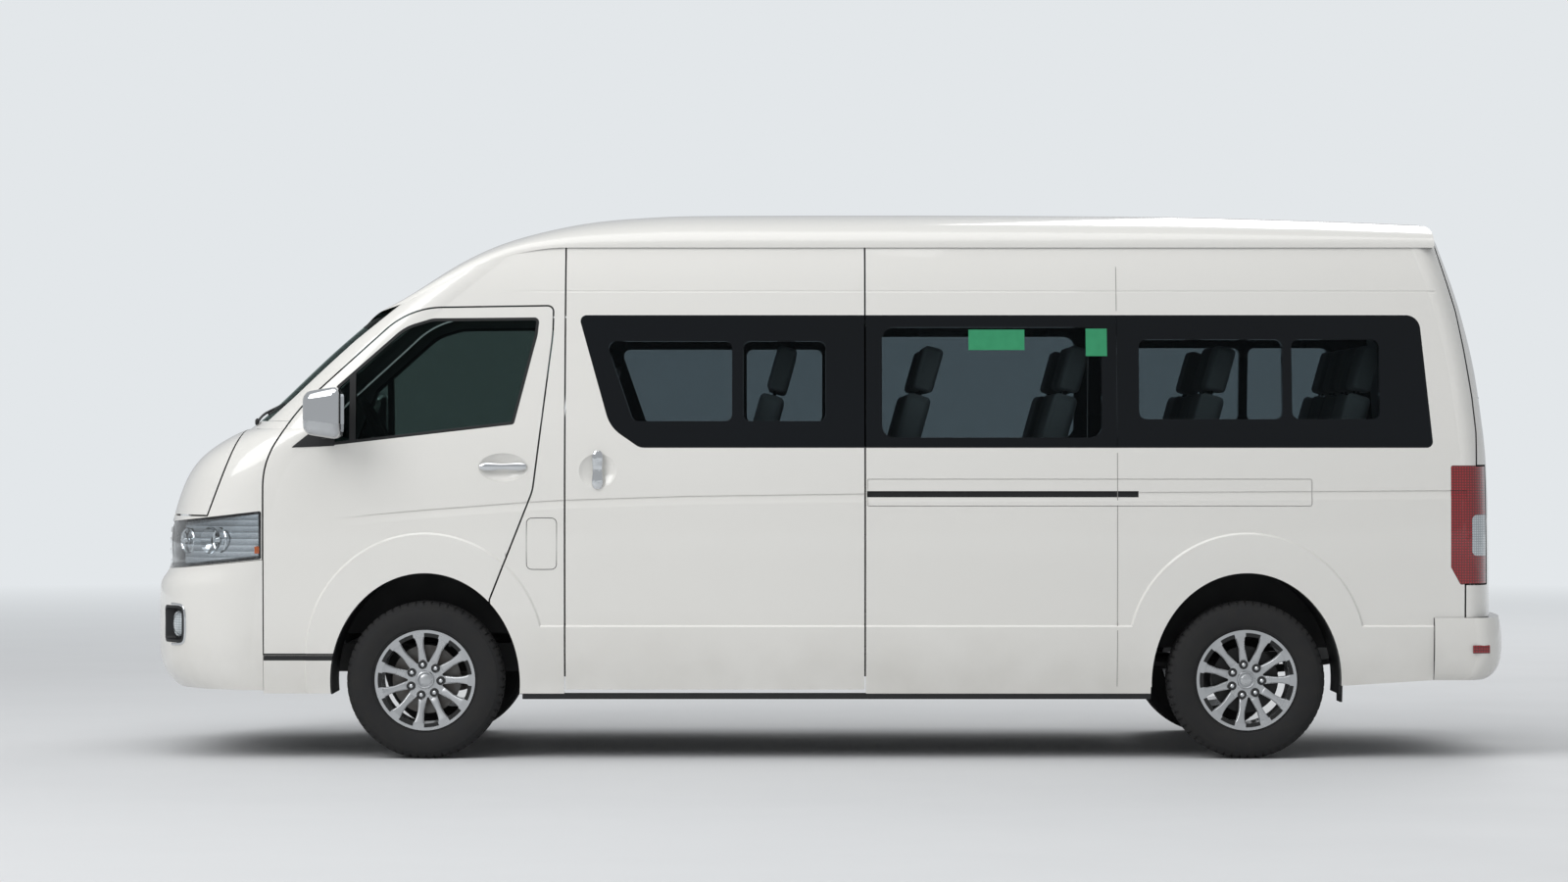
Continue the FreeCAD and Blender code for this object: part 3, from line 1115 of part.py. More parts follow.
eye = rod("LugEye", ("Sizes.rail_rear + Sizes.tow_length - 3 * Sizes.tow_width / 2",
                     "-Sizes.rail_inner - Sizes.rail_width / 2",
                     "Sizes.rail_bottom - 2 * Sizes.tow_plate"),
          "Sizes.tow_radius", "3 * Sizes.tow_plate", (Vector(1, 0, 0), 0))
lug = doc.addObject("Part::Cut", "TowLug")
lug.Base = lug_plate
lug.Tool = eye
underframe = doc.addObject("Part::Compound", "underframe")
underframe.Label = "underframe"
underframe.Links = members + [lug]

# Steering knuckles: post, stub axle, brake disc, hub flange and the spigot of the wheel.
ALONG_LEFT = (Vector(1, 0, 0), 90)
ALONG_RIGHT = (Vector(1, 0, 0), -90)
for side_name, sign, turn in (("left", "-1", ALONG_LEFT), ("right", "1", ALONG_RIGHT)):
    post_y = f"{sign} * (Sizes.wheel_track - Sizes.kingpin_inset)"
    hub_y = "(Sizes.wheel_track + Sizes.hub_offset)"
    post = rod(f"Post_{side_name}",
               ("-Sizes.front_axle", post_y, "Sizes.tyre_radius - Sizes.kingpin_reach"),
               "Sizes.kingpin_radius", "2 * Sizes.kingpin_reach")
    stub = rod(f"Stub_{side_name}", ("-Sizes.front_axle", post_y, "Sizes.tyre_radius"),
               "Sizes.spindle_radius", "Sizes.kingpin_inset + Sizes.hub_offset", turn)
    disc = rod(f"Disc_{side_name}",
               ("-Sizes.front_axle", f"{sign} * ({hub_y} - Sizes.disc_inset)",
                "Sizes.tyre_radius"), "Sizes.disc_radius", "Sizes.disc_width", turn)
    flange = rod(f"Flange_{side_name}",
                 ("-Sizes.front_axle", f"{sign} * ({hub_y} - Sizes.flange_width)",
                  "Sizes.tyre_radius"), "Sizes.flange_radius", "Sizes.flange_width", turn)
    spigot = rod(f"Spigot_{side_name}",
                 ("-Sizes.front_axle", f"{sign} * {hub_y}", "Sizes.tyre_radius"),
                 "Sizes.bore_radius - Sizes.fit", "Sizes.spigot_depth", turn)
    fused(f"knuckle_{side_name}", [post, stub, disc, flange, spigot])

# Rear axle: tube, differential, drums, flanges, spigots, leaf springs and propeller shaft.
axle_parts = [
    rod("AxleTube", ("Sizes.rear_axle", "-Sizes.wheel_track - Sizes.hub_offset",
                     "Sizes.tyre_radius"), "Sizes.axle_radius",
        "2 * (Sizes.wheel_track + Sizes.hub_offset)", ALONG_RIGHT),
    primitive("Part::Sphere", "Differential", ("Sizes.rear_axle", "0", "Sizes.tyre_radius"),
              Radius="Sizes.differential_radius"),
    rod("PropShaft", ("-Sizes.engine_front + Sizes.engine_length + Sizes.seat_gap", "0",
                      "Sizes.tyre_radius + Sizes.shaft_radius"),
        "Sizes.shaft_radius", "Sizes.engine_front - Sizes.engine_length - Sizes.seat_gap"
        " + Sizes.rear_axle", (Vector(0, 1, 0), 90)),
]
for side_name, sign, turn in (("Left", "-1", ALONG_LEFT), ("Right", "1", ALONG_RIGHT)):
    hub_y = "(Sizes.wheel_track + Sizes.hub_offset)"
    axle_parts.append(rod(f"Drum{side_name}",
                          ("Sizes.rear_axle",
                           f"{sign} * ({hub_y} - Sizes.flange_width - Sizes.drum_width)",
                           "Sizes.tyre_radius"),
                          "Sizes.drum_radius", "Sizes.drum_width", turn))
    axle_parts.append(rod(f"RearFlange{side_name}",
                          ("Sizes.rear_axle", f"{sign} * ({hub_y} - Sizes.flange_width)",
                           "Sizes.tyre_radius"),
                          "Sizes.flange_radius", "Sizes.flange_width", turn))
    axle_parts.append(rod(f"RearSpigot{side_name}",
                          ("Sizes.rear_axle", f"{sign} * {hub_y}", "Sizes.tyre_radius"),
                          "Sizes.bore_radius - Sizes.fit", "Sizes.spigot_depth", turn))
    spring_y = f"{sign} * (Sizes.rail_inner + Sizes.rail_width + Sizes.leaf_depth)"
    eye_level = "Sizes.tyre_radius + Sizes.axle_radius + Sizes.leaf_rise"
    for end_name, reach in (("Front", "-Sizes.spring_reach"), ("Rear", "Sizes.spring_reach")):
        axle_parts.append(rod(f"SpringEye{end_name}{side_name}",
                              (f"Sizes.rear_axle + {reach}", spring_y, eye_level),
                              "Sizes.spring_eye", "Sizes.spring_width", turn))
        shackle_y = (f"{spring_y} - Sizes.spring_width" if sign == "-1" else spring_y)
        axle_parts.append(boxed(f"Shackle{end_name}{side_name}",
                                (f"Sizes.rear_axle + {reach} - Sizes.spring_eye", shackle_y,
                                 eye_level), "2 * Sizes.spring_eye", "Sizes.spring_width",
                                "Sizes.leaf_rise + Sizes.spring_eye"))
        pad_y = (f"-Sizes.rail_inner - Sizes.rail_width - Sizes.leaf_depth"
                 if sign == "-1" else "Sizes.rail_inner + Sizes.rail_width + Sizes.seat_gap")
        axle_parts.append(boxed(f"ShacklePad{end_name}{side_name}",
                                (f"Sizes.rear_axle + {reach} - Sizes.spring_eye", pad_y,
                                 "Sizes.rail_bottom"), "2 * Sizes.spring_eye",
                                "Sizes.leaf_depth - Sizes.seat_gap", "Sizes.leaf_rise"))


def leaf(side, share, number):
    """One curved spring leaf, a share as long as the main leaf and lower by its number."""
    reach = s.spring_reach * share
    rise = s.leaf_rise * share ** 2
    start = side * (s.rail_inner + s.rail_width + s.leaf_depth)
    base = s.tyre_radius + s.axle_radius - s.leaf_depth * number
    arcs = []
    for lift in (0.0, -s.leaf_depth):
        ends = [Vector(s.rear_axle + end * reach, start, base + lift + rise)
                for end in (-1, 1)]
        middle = Vector(s.rear_axle, start, base + lift)
        arcs.append(Part.Arc(ends[0], middle, ends[1]).toShape())
    caps = [Part.LineSegment(arcs[0].Vertexes[end].Point, arcs[1].Vertexes[end].Point).toShape()
            for end in (0, 1)]
    wire = Part.Wire(Part.__sortEdges__(arcs + caps))
    return Part.Face(wire).extrude(Vector(0, side * s.spring_width, 0))


for side in (-1, 1):
    leaves = [leaf(side, share, number) for number, share in enumerate(LEAF_SHARES)]
    spring = doc.addObject("Part::Feature", f"Leaves{'Left' if side < 0 else 'Right'}")
    spring.Shape = leaves[0].fuse(leaves[1:])
    axle_parts.append(spring)
fused("rear_axle", axle_parts)

# Fuel tank with rounded edges along it, and the exhaust on the other side.
tank = boxed("TankBlock", ("Sizes.tank_front", "-Sizes.rail_inner - Sizes.rail_width - Sizes.seat_gap - Sizes.tank_width",
                           "Sizes.tank_bottom"),
             "Sizes.tank_length", "Sizes.tank_width", "Sizes.tank_height")
doc.recompute()
fuel_tank = doc.addObject("Part::Fillet", "fuel_tank")
fuel_tank.Label = "fuel_tank"
fuel_tank.Base = tank
fuel_tank.Edges = [(number, s.tank_edge, s.tank_edge)
                   for number, edge in enumerate(tank.Shape.Edges, start=1)
                   if abs(edge.tangentAt(edge.FirstParameter).x) > 1 - s.fit]
engine_side = "Sizes.engine_width / 2 - 2 * Sizes.pipe_radius"
downpipe = rod("DownPipe", ("-Sizes.engine_front + Sizes.engine_length + Sizes.seat_gap",
                            engine_side, "Sizes.pipe_level + Sizes.pipe_radius"),
               "Sizes.pipe_radius", "Sizes.engine_front - Sizes.engine_length"
               " - Sizes.platform_rear + Sizes.pipe_radius", (Vector(0, 1, 0), 90))
crosspipe = rod("CrossPipe", ("-Sizes.platform_rear", engine_side, "Sizes.pipe_level"),
                "Sizes.pipe_radius", f"Sizes.pipe_inset - ({engine_side})",
                (Vector(1, 0, 0), -90))
pipe = rod("ExhaustPipe", ("-Sizes.platform_rear", "Sizes.pipe_inset", "Sizes.pipe_level"),
           "Sizes.pipe_radius", "Sizes.platform_rear + Sizes.rear_axle - Sizes.arch_reach"
           " - Sizes.overrun / 4", (Vector(0, 1, 0), 90))
silencer = rod("Silencer", ("Sizes.silencer_front", "Sizes.pipe_inset", "Sizes.pipe_level"),
               "Sizes.silencer_radius", "Sizes.silencer_length", (Vector(0, 1, 0), 90))
hangers = [rod(f"Hanger{number}", (f"Sizes.silencer_front + Sizes.silencer_length * {place}",
                                   "Sizes.pipe_inset", "Sizes.pipe_level"),
               "Sizes.hanger_radius", "Sizes.floor_top - Sizes.floor_wall - Sizes.seat_gap"
               " - Sizes.pipe_level")
           for number, place in enumerate(HANGER_SHARES)]
fused("exhaust", [downpipe, crosspipe, pipe, silencer] + hangers)

# Mirrors: a housing cut flat at the back, an arm and a foot that follows the door.
MIRROR_FOOT_SHARES = ((-0.7800, 0.5620), (-0.7158, 0.6190), (-0.7158, 0.5620))
centre = Vector(-s.mirror_front, -s.mirror_side, s.mirror_level)
ball = Part.makeSphere(s.mirror_height)
stretch = FreeCAD.Matrix()
stretch.scale(s.mirror_length / s.mirror_height, s.mirror_reach / s.mirror_height, 1)
housing = ball.transformGeometry(stretch)
housing.translate(centre)
flat = block(centre.x + s.mirror_length * 0.55, far, -far, 0, 0, high)
housing = housing.cut(flat)
door_face = hull(-s.seat_gap)
foot_start = -s.half_width - s.mirror_base * 0.5
foot = prism(outline(MIRROR_FOOT_SHARES, foot_start), s.half_width * 0.1).cut(door_face)
arm = Part.makeCylinder(s.mirror_arm, s.mirror_side - s.half_width * 0.9,
                        Vector(centre.x, -s.mirror_side, centre.z - s.mirror_height * 0.55),
                        Vector(0, 1, 0))
arm = arm.cut(door_face)
mirror = housing.fuse(foot).fuse(arm)
mirror = max(mirror.Solids, key=lambda solid: solid.Volume)
feature("mirror_left", mirror)
feature("mirror_right", mirrored(mirror))

# Wheels, each a tyre and a rim turned about their own axis and placed at an axle end.
TYRE_POINTS = (
    ("Sizes.rim_seat + Sizes.seat_gap", "-Sizes.rim_width / 2 + Sizes.rim_flange + Sizes.seat_gap"),
    ("Sizes.rim_radius + Sizes.seat_gap",
     "-Sizes.rim_width / 2 + Sizes.rim_flange + Sizes.seat_gap"),
    ("(Sizes.rim_radius + Sizes.tyre_radius) / 2", "-Sizes.tyre_width / 2"),
    ("Sizes.tyre_radius - Sizes.shoulder * 1.6", "-Sizes.tyre_width / 2 + Sizes.shoulder / 4"),
    ("Sizes.tyre_radius - Sizes.shoulder / 3", "-Sizes.tyre_width / 2 + Sizes.shoulder"),
    ("Sizes.tyre_radius", "-Sizes.tyre_width / 2 + Sizes.shoulder * 2"),
)
RIM_POINTS = (
    ("Sizes.rim_seat - Sizes.rim_barrel", "-Sizes.rim_width / 2"),
    ("Sizes.rim_radius", "-Sizes.rim_width / 2"),
    ("Sizes.rim_radius", "-Sizes.rim_width / 2 + Sizes.rim_flange"),
    ("Sizes.rim_seat", "-Sizes.rim_width / 2 + Sizes.rim_flange"),
)


def both_sides(points):
    """Closed profile from the points of its inner side and their mirror image."""
    return [*points, *[(across, f"-({up})") for across, up in reversed(points)]]


def wheel_place(item, axle, sign):
    """Turn a wheel's piece so that its outer side faces away from the body."""
    item.Placement = FreeCAD.Placement(Vector(), Rotation(Vector(1, 0, 0), -90 * sign))
    item.setExpression(".Placement.Base.x", axle)
    item.setExpression(".Placement.Base.y", f"{sign} * Sizes.wheel_track")
    item.setExpression(".Placement.Base.z", "Sizes.tyre_radius")


for place_name, axle, sign in (("front_left", "-Sizes.front_axle", -1),
                               ("front_right", "-Sizes.front_axle", 1),
                               ("rear_left", "Sizes.rear_axle", -1),
                               ("rear_right", "Sizes.rear_axle", 1)):
    tyre = doc.addObject("PartDesign::Body", f"tyre_{place_name}")
    tyre.Label = f"tyre_{place_name}"
    profile = pinned_sketch(tyre, f"TyreProfile_{place_name}", "XZ_Plane",
                            both_sides(TYRE_POINTS))
    revolved(tyre, f"TyreTurn_{place_name}", profile)
    wheel_place(tyre, axle, sign)

    rim = doc.addObject("PartDesign::Body", f"rim_{place_name}")
    rim.Label = f"rim_{place_name}"
    profile = pinned_sketch(rim, f"BarrelProfile_{place_name}", "XZ_Plane",
                            both_sides(RIM_POINTS))
    revolved(rim, f"BarrelTurn_{place_name}", profile)
    spoke = pinned_sketch(rim, f"SpokeProfile_{place_name}", "XY_Plane", (
        ("Sizes.bore_radius * 1.2", "-Sizes.spoke_width / 2"),
        ("Sizes.hub_radius", "-Sizes.spoke_width / 2"),
        ("(Sizes.hub_radius + Sizes.rim_seat) / 2", "-Sizes.spoke_waist / 2"),
        ("Sizes.rim_seat - 3 * Sizes.rim_barrel", "-Sizes.spoke_waist / 2 - Sizes.rim_barrel / 2"),
        ("Sizes.rim_seat - Sizes.rim_barrel / 2", "-Sizes.spoke_end / 2"),
        ("Sizes.rim_seat - Sizes.rim_barrel / 2", "Sizes.spoke_end / 2"),
        ("Sizes.rim_seat - 3 * Sizes.rim_barrel", "Sizes.spoke_waist / 2 + Sizes.rim_barrel / 2"),
        ("(Sizes.hub_radius + Sizes.rim_seat) / 2", "Sizes.spoke_waist / 2"),
        ("Sizes.hub_radius", "Sizes.spoke_width / 2"),
        ("Sizes.bore_radius * 1.2", "Sizes.spoke_width / 2"),
    ), "Sizes.hub_offset + Sizes.hub_depth - Sizes.spoke_depth")
    hub = pinned_sketch(rim, f"HubProfile_{place_name}", "XZ_Plane", (
        ("0", "Sizes.hub_offset + Sizes.spigot_depth + Sizes.flange_width / 4"),
        ("Sizes.bore_radius", "Sizes.hub_offset + Sizes.spigot_depth + Sizes.flange_width / 4"),
        ("Sizes.bore_radius", "Sizes.hub_offset"),
        ("Sizes.hub_radius", "Sizes.hub_offset"),
        ("Sizes.hub_radius", "Sizes.hub_offset + Sizes.hub_depth * 0.8"),
        ("Sizes.bore_radius", "Sizes.hub_offset + Sizes.hub_depth"),
        ("0", "Sizes.hub_offset + Sizes.hub_depth"),
    ))
    pad = padded_on(rim, f"Spoke_{place_name}", spoke, "Sizes.spoke_depth")
    star = rim.newObject("PartDesign::PolarPattern", f"Spokes_{place_name}")
    star.Originals = [pad]
    star.Axis = (spoke, ["N_Axis"])
    star.Angle = 360
    star.Occurrences = int(s.spoke_count)
    rim.Tip = star
    revolved(rim, f"HubTurn_{place_name}", hub)
    wheel_place(rim, axle, sign)

NODES = (
    "roof", "front_bumper", "fog_lamps", "nose_panel", "bonnet", "grille", "headlamps",
    "headlamp_rims", "headlamp_units", "reverse_lamps", "slider_tracks", "slider_handles",
    "door_handle_left", "door_handle_right", "door_seal_left", "door_seal_right", "side_left",
    "side_right", "sliding_door_left", "sliding_door_right", "window_bands", "window_panes",
    "door_left", "door_right", "door_glass_left", "door_glass_right", "windscreen", "tail_lamps",
    "tailgate", "tailgate_glass", "rear_bumper", "sill_trims", "floor", "wheel_liners",
    "dashboard", "steering_wheel", "seats_left", "seats_right", "cab_seats", "engine",
    "underframe", "knuckle_left", "knuckle_right", "rear_axle", "fuel_tank", "exhaust",
    "mirror_left", "mirror_right", "tyre_front_left", "tyre_front_right", "tyre_rear_left",
    "tyre_rear_right", "rim_front_left", "rim_front_right", "rim_rear_left", "rim_rear_right",
)

doc.recompute()
for item in doc.Objects:
    if "Invalid" in item.State or "Error" in item.State:
        raise RuntimeError(f"{item.Label} failed: {item.State}")
os.makedirs("parts", exist_ok=True)
for node in NODES:
    item = doc.getObjectsByLabel(node)[0]
    shape = item.Shape
    if shape.isNull() or not shape.isValid():
        raise RuntimeError(f"{node} has no sound shape")
    shape.exportStep(f"parts/{node}.step")
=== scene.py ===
"""Looks of a white high-roof minibus: finishes, glass, lamps, wheels, seats and a plain studio.

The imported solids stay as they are. This script gives each of them its finish, adds the pieces that
only show close up, such as tyre tread, wheel nuts and wipers, and sets the camera and the light.
"""

from __future__ import annotations

import json
import logging
import math
from dataclasses import dataclass, field
from enum import Enum
from typing import Callable, Sequence

import bmesh
import bpy
from mathutils import Matrix, Vector

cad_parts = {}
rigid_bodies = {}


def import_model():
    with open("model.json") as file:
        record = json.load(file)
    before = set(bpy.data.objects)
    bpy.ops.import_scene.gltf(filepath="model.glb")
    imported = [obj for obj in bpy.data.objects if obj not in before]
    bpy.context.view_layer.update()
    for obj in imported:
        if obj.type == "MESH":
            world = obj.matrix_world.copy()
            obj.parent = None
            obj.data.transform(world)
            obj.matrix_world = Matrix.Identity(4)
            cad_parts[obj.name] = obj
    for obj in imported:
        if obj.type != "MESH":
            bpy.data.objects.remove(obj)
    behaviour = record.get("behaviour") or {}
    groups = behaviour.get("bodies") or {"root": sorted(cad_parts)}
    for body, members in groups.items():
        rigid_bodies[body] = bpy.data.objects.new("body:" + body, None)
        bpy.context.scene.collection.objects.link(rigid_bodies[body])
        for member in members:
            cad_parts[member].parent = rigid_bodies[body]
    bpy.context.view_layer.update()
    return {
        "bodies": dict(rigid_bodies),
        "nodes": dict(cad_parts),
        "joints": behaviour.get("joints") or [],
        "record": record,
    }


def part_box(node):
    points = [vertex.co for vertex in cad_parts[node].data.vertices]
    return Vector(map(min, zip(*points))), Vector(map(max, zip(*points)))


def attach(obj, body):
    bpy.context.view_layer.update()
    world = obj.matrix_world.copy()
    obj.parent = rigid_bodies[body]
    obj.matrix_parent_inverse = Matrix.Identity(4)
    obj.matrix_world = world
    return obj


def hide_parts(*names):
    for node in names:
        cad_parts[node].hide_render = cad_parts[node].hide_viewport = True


LOG = logging.getLogger("minibus")
MM = 0.001
QUARTER = math.pi / 2
# A wave texture of scale 1 repeats after this many metres.
WAVE_LENGTH = 0.314
# X points to the rear of the vehicle and Y to its right side.
ALONG = (1.0, 0.0, 0.0)
ACROSS = (0.0, 1.0, 0.0)
# Place along Y of the widest line of the left side.
SIDE_LINE = -0.9
# A line that looks for a surface starts this far out, clear of every piece.
OUTSIDE = 4.0
Point = tuple[float, float, float]
Spot = tuple[float, float]
Profile = Sequence[Spot]
Piece = bpy.types.Object
Tree = bpy.types.NodeTree
Node = bpy.types.Node
Socket = bpy.types.NodeSocket


class Element(Enum):
    """Kind of mesh element that an edit step picks."""

    EDGE = "EDGE"
    FACE = "FACE"


class Wave(Enum):
    """Profile of a ridge that repeats."""

    ROUND = "SIN"
    STEP = "SAW"


class Crossing(Enum):
    """How two rows of ridges meet."""

    PRISMS = "MULTIPLY"
    THREADS = "MAXIMUM"


class Corner(Enum):
    """The four wheel places."""

    FRONT_LEFT = "front_left"
    FRONT_RIGHT = "front_right"
    REAR_LEFT = "rear_left"
    REAR_RIGHT = "rear_right"

    @property
    def outward(self) -> float:
        """Sign of Y on the outer side of this wheel."""
        return -1.0 if self.value.endswith("left") else 1.0


def linear(code: str) -> tuple[float, float, float, float]:
    """Turns an sRGB hex colour into the linear colour that shaders take.

    Args:
        code: Colour such as "#E2E1DE".

    Returns:
        Linear red, green, blue and a full alpha.
    """
    parts = [int(code[start:start + 2], 16) / 255 for start in (1, 3, 5)]
    red, green, blue = (part / 12.92 if part <= 0.04045 else ((part + 0.055) / 1.055) ** 2.4
                        for part in parts)
    return (red, green, blue, 1.0)


def per_metre(size_mm: float) -> float:
    """Gives the scale of a pattern whose lumps have a size in millimetres."""
    return 1 / (size_mm * MM)


def feed(node: Node, inputs: dict | Sequence) -> None:
    """Sets or links inputs of a node.

    Args:
        node: Node that takes them.
        inputs: Value, hex colour or output socket of each input, by its name or number or,
            in a sequence, in order.
    """
    rows = inputs.items() if isinstance(inputs, dict) else enumerate(inputs)
    for name, value in rows:
        if isinstance(value, Socket):
            node.id_data.links.new(value, node.inputs[name])
        else:
            node.inputs[name].default_value = linear(value) if isinstance(value, str) else value


def add(tree: Tree, kind: str, inputs: dict | Sequence = (),
        output: str | int = 0, **settings: object) -> Socket | None:
    """Adds one node to a tree with its settings and its inputs.

    Args:
        tree: Tree that the node goes into.
        kind: Blender's name of the node type, after "ShaderNode".
        inputs: What each input takes, as feed has it.
        output: Name or number of the output that is handed back.
        settings: Properties of the node itself.

    Returns:
        The output socket, or None from a node that has no output.
    """
    node = tree.nodes.new(f"ShaderNode{kind}")
    for name, value in settings.items():
        setattr(node, name, value)
    feed(node, inputs)
    return node.outputs[output] if node.outputs else None


# Finishes


@dataclass(frozen=True)
class Finish:
    """Surface finish with patches of a second shade and a fine bump, all in real sizes."""

    name: str
    colour: str
    roughness: float = 0.5
    metallic: float = 0.0
    ior: float = 1.5
    coat: float = 0.0
    shade: str = ""
    shade_share: float = 0.35
    patch_mm: float = 250.0
    grain_mm: float = 3.0
    grain_depth_mm: float = 0.0
    wear: float = 0.06

    def grain(self, tree: Tree, shader: Node, detail: float = 2.0) -> None:
        """Lifts the surface in lumps of the grain's size and depth.

        Args:
            tree: Tree of the new material.
            shader: Its Principled shader.
            detail: Octaves of finer lumps.
        """
        lumps = add(tree, "TexNoise", {"Vector": add(tree, "TexCoord", output="Object"),
                                       "Scale": per_metre(self.grain_mm), "Detail": detail})
        feed(shader, {"Normal": add(tree, "Bump", {"Distance": self.grain_depth_mm * MM,
                                                   "Height": lumps})})

    def dress(self, tree: Tree, shader: Node) -> Socket:
        """Adds the patches, the uneven gloss and the grain.

        Args:
            tree: Tree of the new material.
            shader: Its Principled shader.

        Returns:
            What the surface shows.
        """
        patches = add(tree, "TexNoise", {"Vector": add(tree, "TexCoord", output="Object"),
                                         "Scale": per_metre(self.patch_mm), "Detail": 3.0})
        if self.shade:
            share = add(tree, "MapRange", (patches, 0.35, 0.75, 0.0, self.shade_share))
            feed(shader, {"Base Color": add(tree, "Mix", {0: share, 6: self.colour,
                                                          7: self.shade}, 2, data_type="RGBA")})
        feed(shader, {"Roughness": add(tree, "MapRange", (
            patches, 0.3, 0.7, max(self.roughness - self.wear, 0.0),
            min(self.roughness + self.wear, 1.0)))})
        if self.grain_depth_mm:
            self.grain(tree, shader)
        return shader.outputs["BSDF"]

    def material(self) -> bpy.types.Material:
        """Gives the finish's material, made on first use.

        Returns:
            The material.
        """
        made = bpy.data.materials.get(self.name)
        if made:
            return made
        made = bpy.data.materials.new(self.name)
        made.use_nodes = True
        tree = made.node_tree
        tree.nodes.clear()
        shader = add(tree, "BsdfPrincipled",
                     {"Base Color": self.colour, "Roughness": self.roughness,
                      "Metallic": self.metallic, "Coat Weight": self.coat}).node
        if not self.metallic:
            feed(shader, {"IOR": self.ior})
        add(tree, "OutputMaterial", {"Surface": self.dress(tree, shader)})
        return made


@dataclass(frozen=True)
class PanelEnamel(Finish):
    """Body enamel: glossy outside with road film near the sills, plain trim on the cabin side."""

    film: str = "#A8A297"
    film_top: float = 0.62
    trim: str = "#8F9090"
    middle: float = 1.2

    def dress(self, tree: Tree, shader: Node) -> Socket:
        """Adds the enamel's slight ripple, the road film and the trim on inward faces.

        Args:
            tree: Tree of the new material.
            shader: Its Principled shader.

        Returns:
            What the surface shows.
        """
        place = add(tree, "TexCoord", output="Object")
        height = add(tree, "SeparateXYZ", (place,), "Z")
        low = add(tree, "MapRange", (height, 0.2, self.film_top, 0.55, 0.0))
        cloud = add(tree, "TexNoise", {"Vector": place, "Scale": per_metre(self.patch_mm),
                                       "Detail": 5.0})
        cloud = add(tree, "MapRange", (cloud, 0.35, 0.8, 0.0, 1.0))
        film = add(tree, "Math", (low, cloud), operation="MULTIPLY")
        broad = add(tree, "TexNoise", {"Vector": place, "Scale": per_metre(self.patch_mm * 3),
                                       "Detail": 3.0})
        faint = add(tree, "MapRange", (broad, 0.3, 0.8, 0.0, 0.3))
        enamel = add(tree, "Mix", {0: faint, 6: self.colour, 7: self.shade}, 2,
                     data_type="RGBA")
        outside = add(tree, "Mix", {0: film, 6: enamel, 7: self.film}, 2, data_type="RGBA")
        # A face looks inwards where its normal points at the middle of the shell.
        lifted = add(tree, "VectorMath", (place, (0.0, 0.0, -self.middle)), operation="ADD")
        across = add(tree, "VectorMath", (lifted, (0.25, 1.0, 1.0)), operation="MULTIPLY")
        facing = add(tree, "VectorMath", (across, add(tree, "TexCoord", output="Normal")),
                     "Value", operation="DOT_PRODUCT")
        inner = add(tree, "MapRange", (facing, -0.12, -0.06, 1.0, 0.0))
        feed(shader, {
            "Base Color": add(tree, "Mix", {0: inner, 6: outside, 7: self.trim}, 2,
                              data_type="RGBA"),
            "Roughness": add(tree, "MapRange", (film, 0.0, 0.5, self.roughness,
                                                self.roughness + 0.25))})
        self.grain(tree, shader, 1.0)
        return shader.outputs["BSDF"]


@dataclass(frozen=True)
class Glass(Finish):
    """Clear moulding that light passes through and bends in."""

    clarity: float = 1.0

    def dress(self, tree: Tree, shader: Node) -> Socket:
        """Makes the shader let light through."""
        feed(shader, {"Transmission Weight": self.clarity})
        return shader.outputs["BSDF"]


@dataclass(frozen=True)
class ThinFilm(Finish):
    """Thin tinted pane that is seen through without bending the view."""

    clear_share: float = 0.6
    grain_mm: float = 400.0
    grain_depth_mm: float = 0.3

    def dress(self, tree: Tree, shader: Node) -> Socket:
        """Mixes the glossy, slightly wavy pane with a tinted see-through layer.

        Args:
            tree: Tree of the new material.
            shader: Its Principled shader.

        Returns:
            What the surface shows.
        """
        self.grain(tree, shader, 1.0)
        clear = add(tree, "BsdfTransparent", (self.shade,))
        return add(tree, "MixShader", (self.clear_share, shader.outputs["BSDF"], clear))


@dataclass(frozen=True)
class Ridges(Finish):
    """Moulding with rows of prisms or with level steps, as bump and as painted shade in the grooves
    with a painted highlight on the crests.
    """

    pitch_mm: float = 9.0
    ways: str = "XZ"
    wave: Wave = Wave.ROUND
    unevenness: float = 0.0
    crossing: Crossing = Crossing.PRISMS

    def ridges(self, tree: Tree, shader: Node) -> Socket:
        """Adds the ridges and lets them lift the surface.

        Args:
            tree: Tree of the new material.
            shader: Its Principled shader.

        Returns:
            Height of the ridges, from 0 to 1.
        """
        place = add(tree, "TexCoord", output="Object")
        rows = [add(tree, "TexWave", {"Vector": place, "Distortion": self.unevenness,
                                      "Scale": WAVE_LENGTH / (self.pitch_mm * MM)}, "Fac",
                    bands_direction=way, wave_profile=self.wave.value) for way in self.ways]
        height = rows[0] if len(rows) == 1 else add(tree, "Math", rows,
                                                    operation=self.crossing.value)
        feed(shader, {"Normal": add(tree, "Bump", {"Distance": self.grain_depth_mm * MM,
                                                   "Height": height})})
        return height

    def dress(self, tree: Tree, shader: Node) -> Socket:
        """Adds the ridges, with painted shade between them and a painted highlight on top.

        Args:
            tree: Tree of the new material.
            shader: Its Principled shader.

        Returns:
            What the surface shows.
        """
        height = self.ridges(tree, shader)
        # Painted shade and highlight: the grooves take the darker second colour and the crests the
        # first.
        feed(shader, {"Base Color": add(tree, "Mix", {0: height, 6: self.shade,
                                                      7: self.colour}, 2, data_type="RGBA")})
        return shader.outputs["BSDF"]


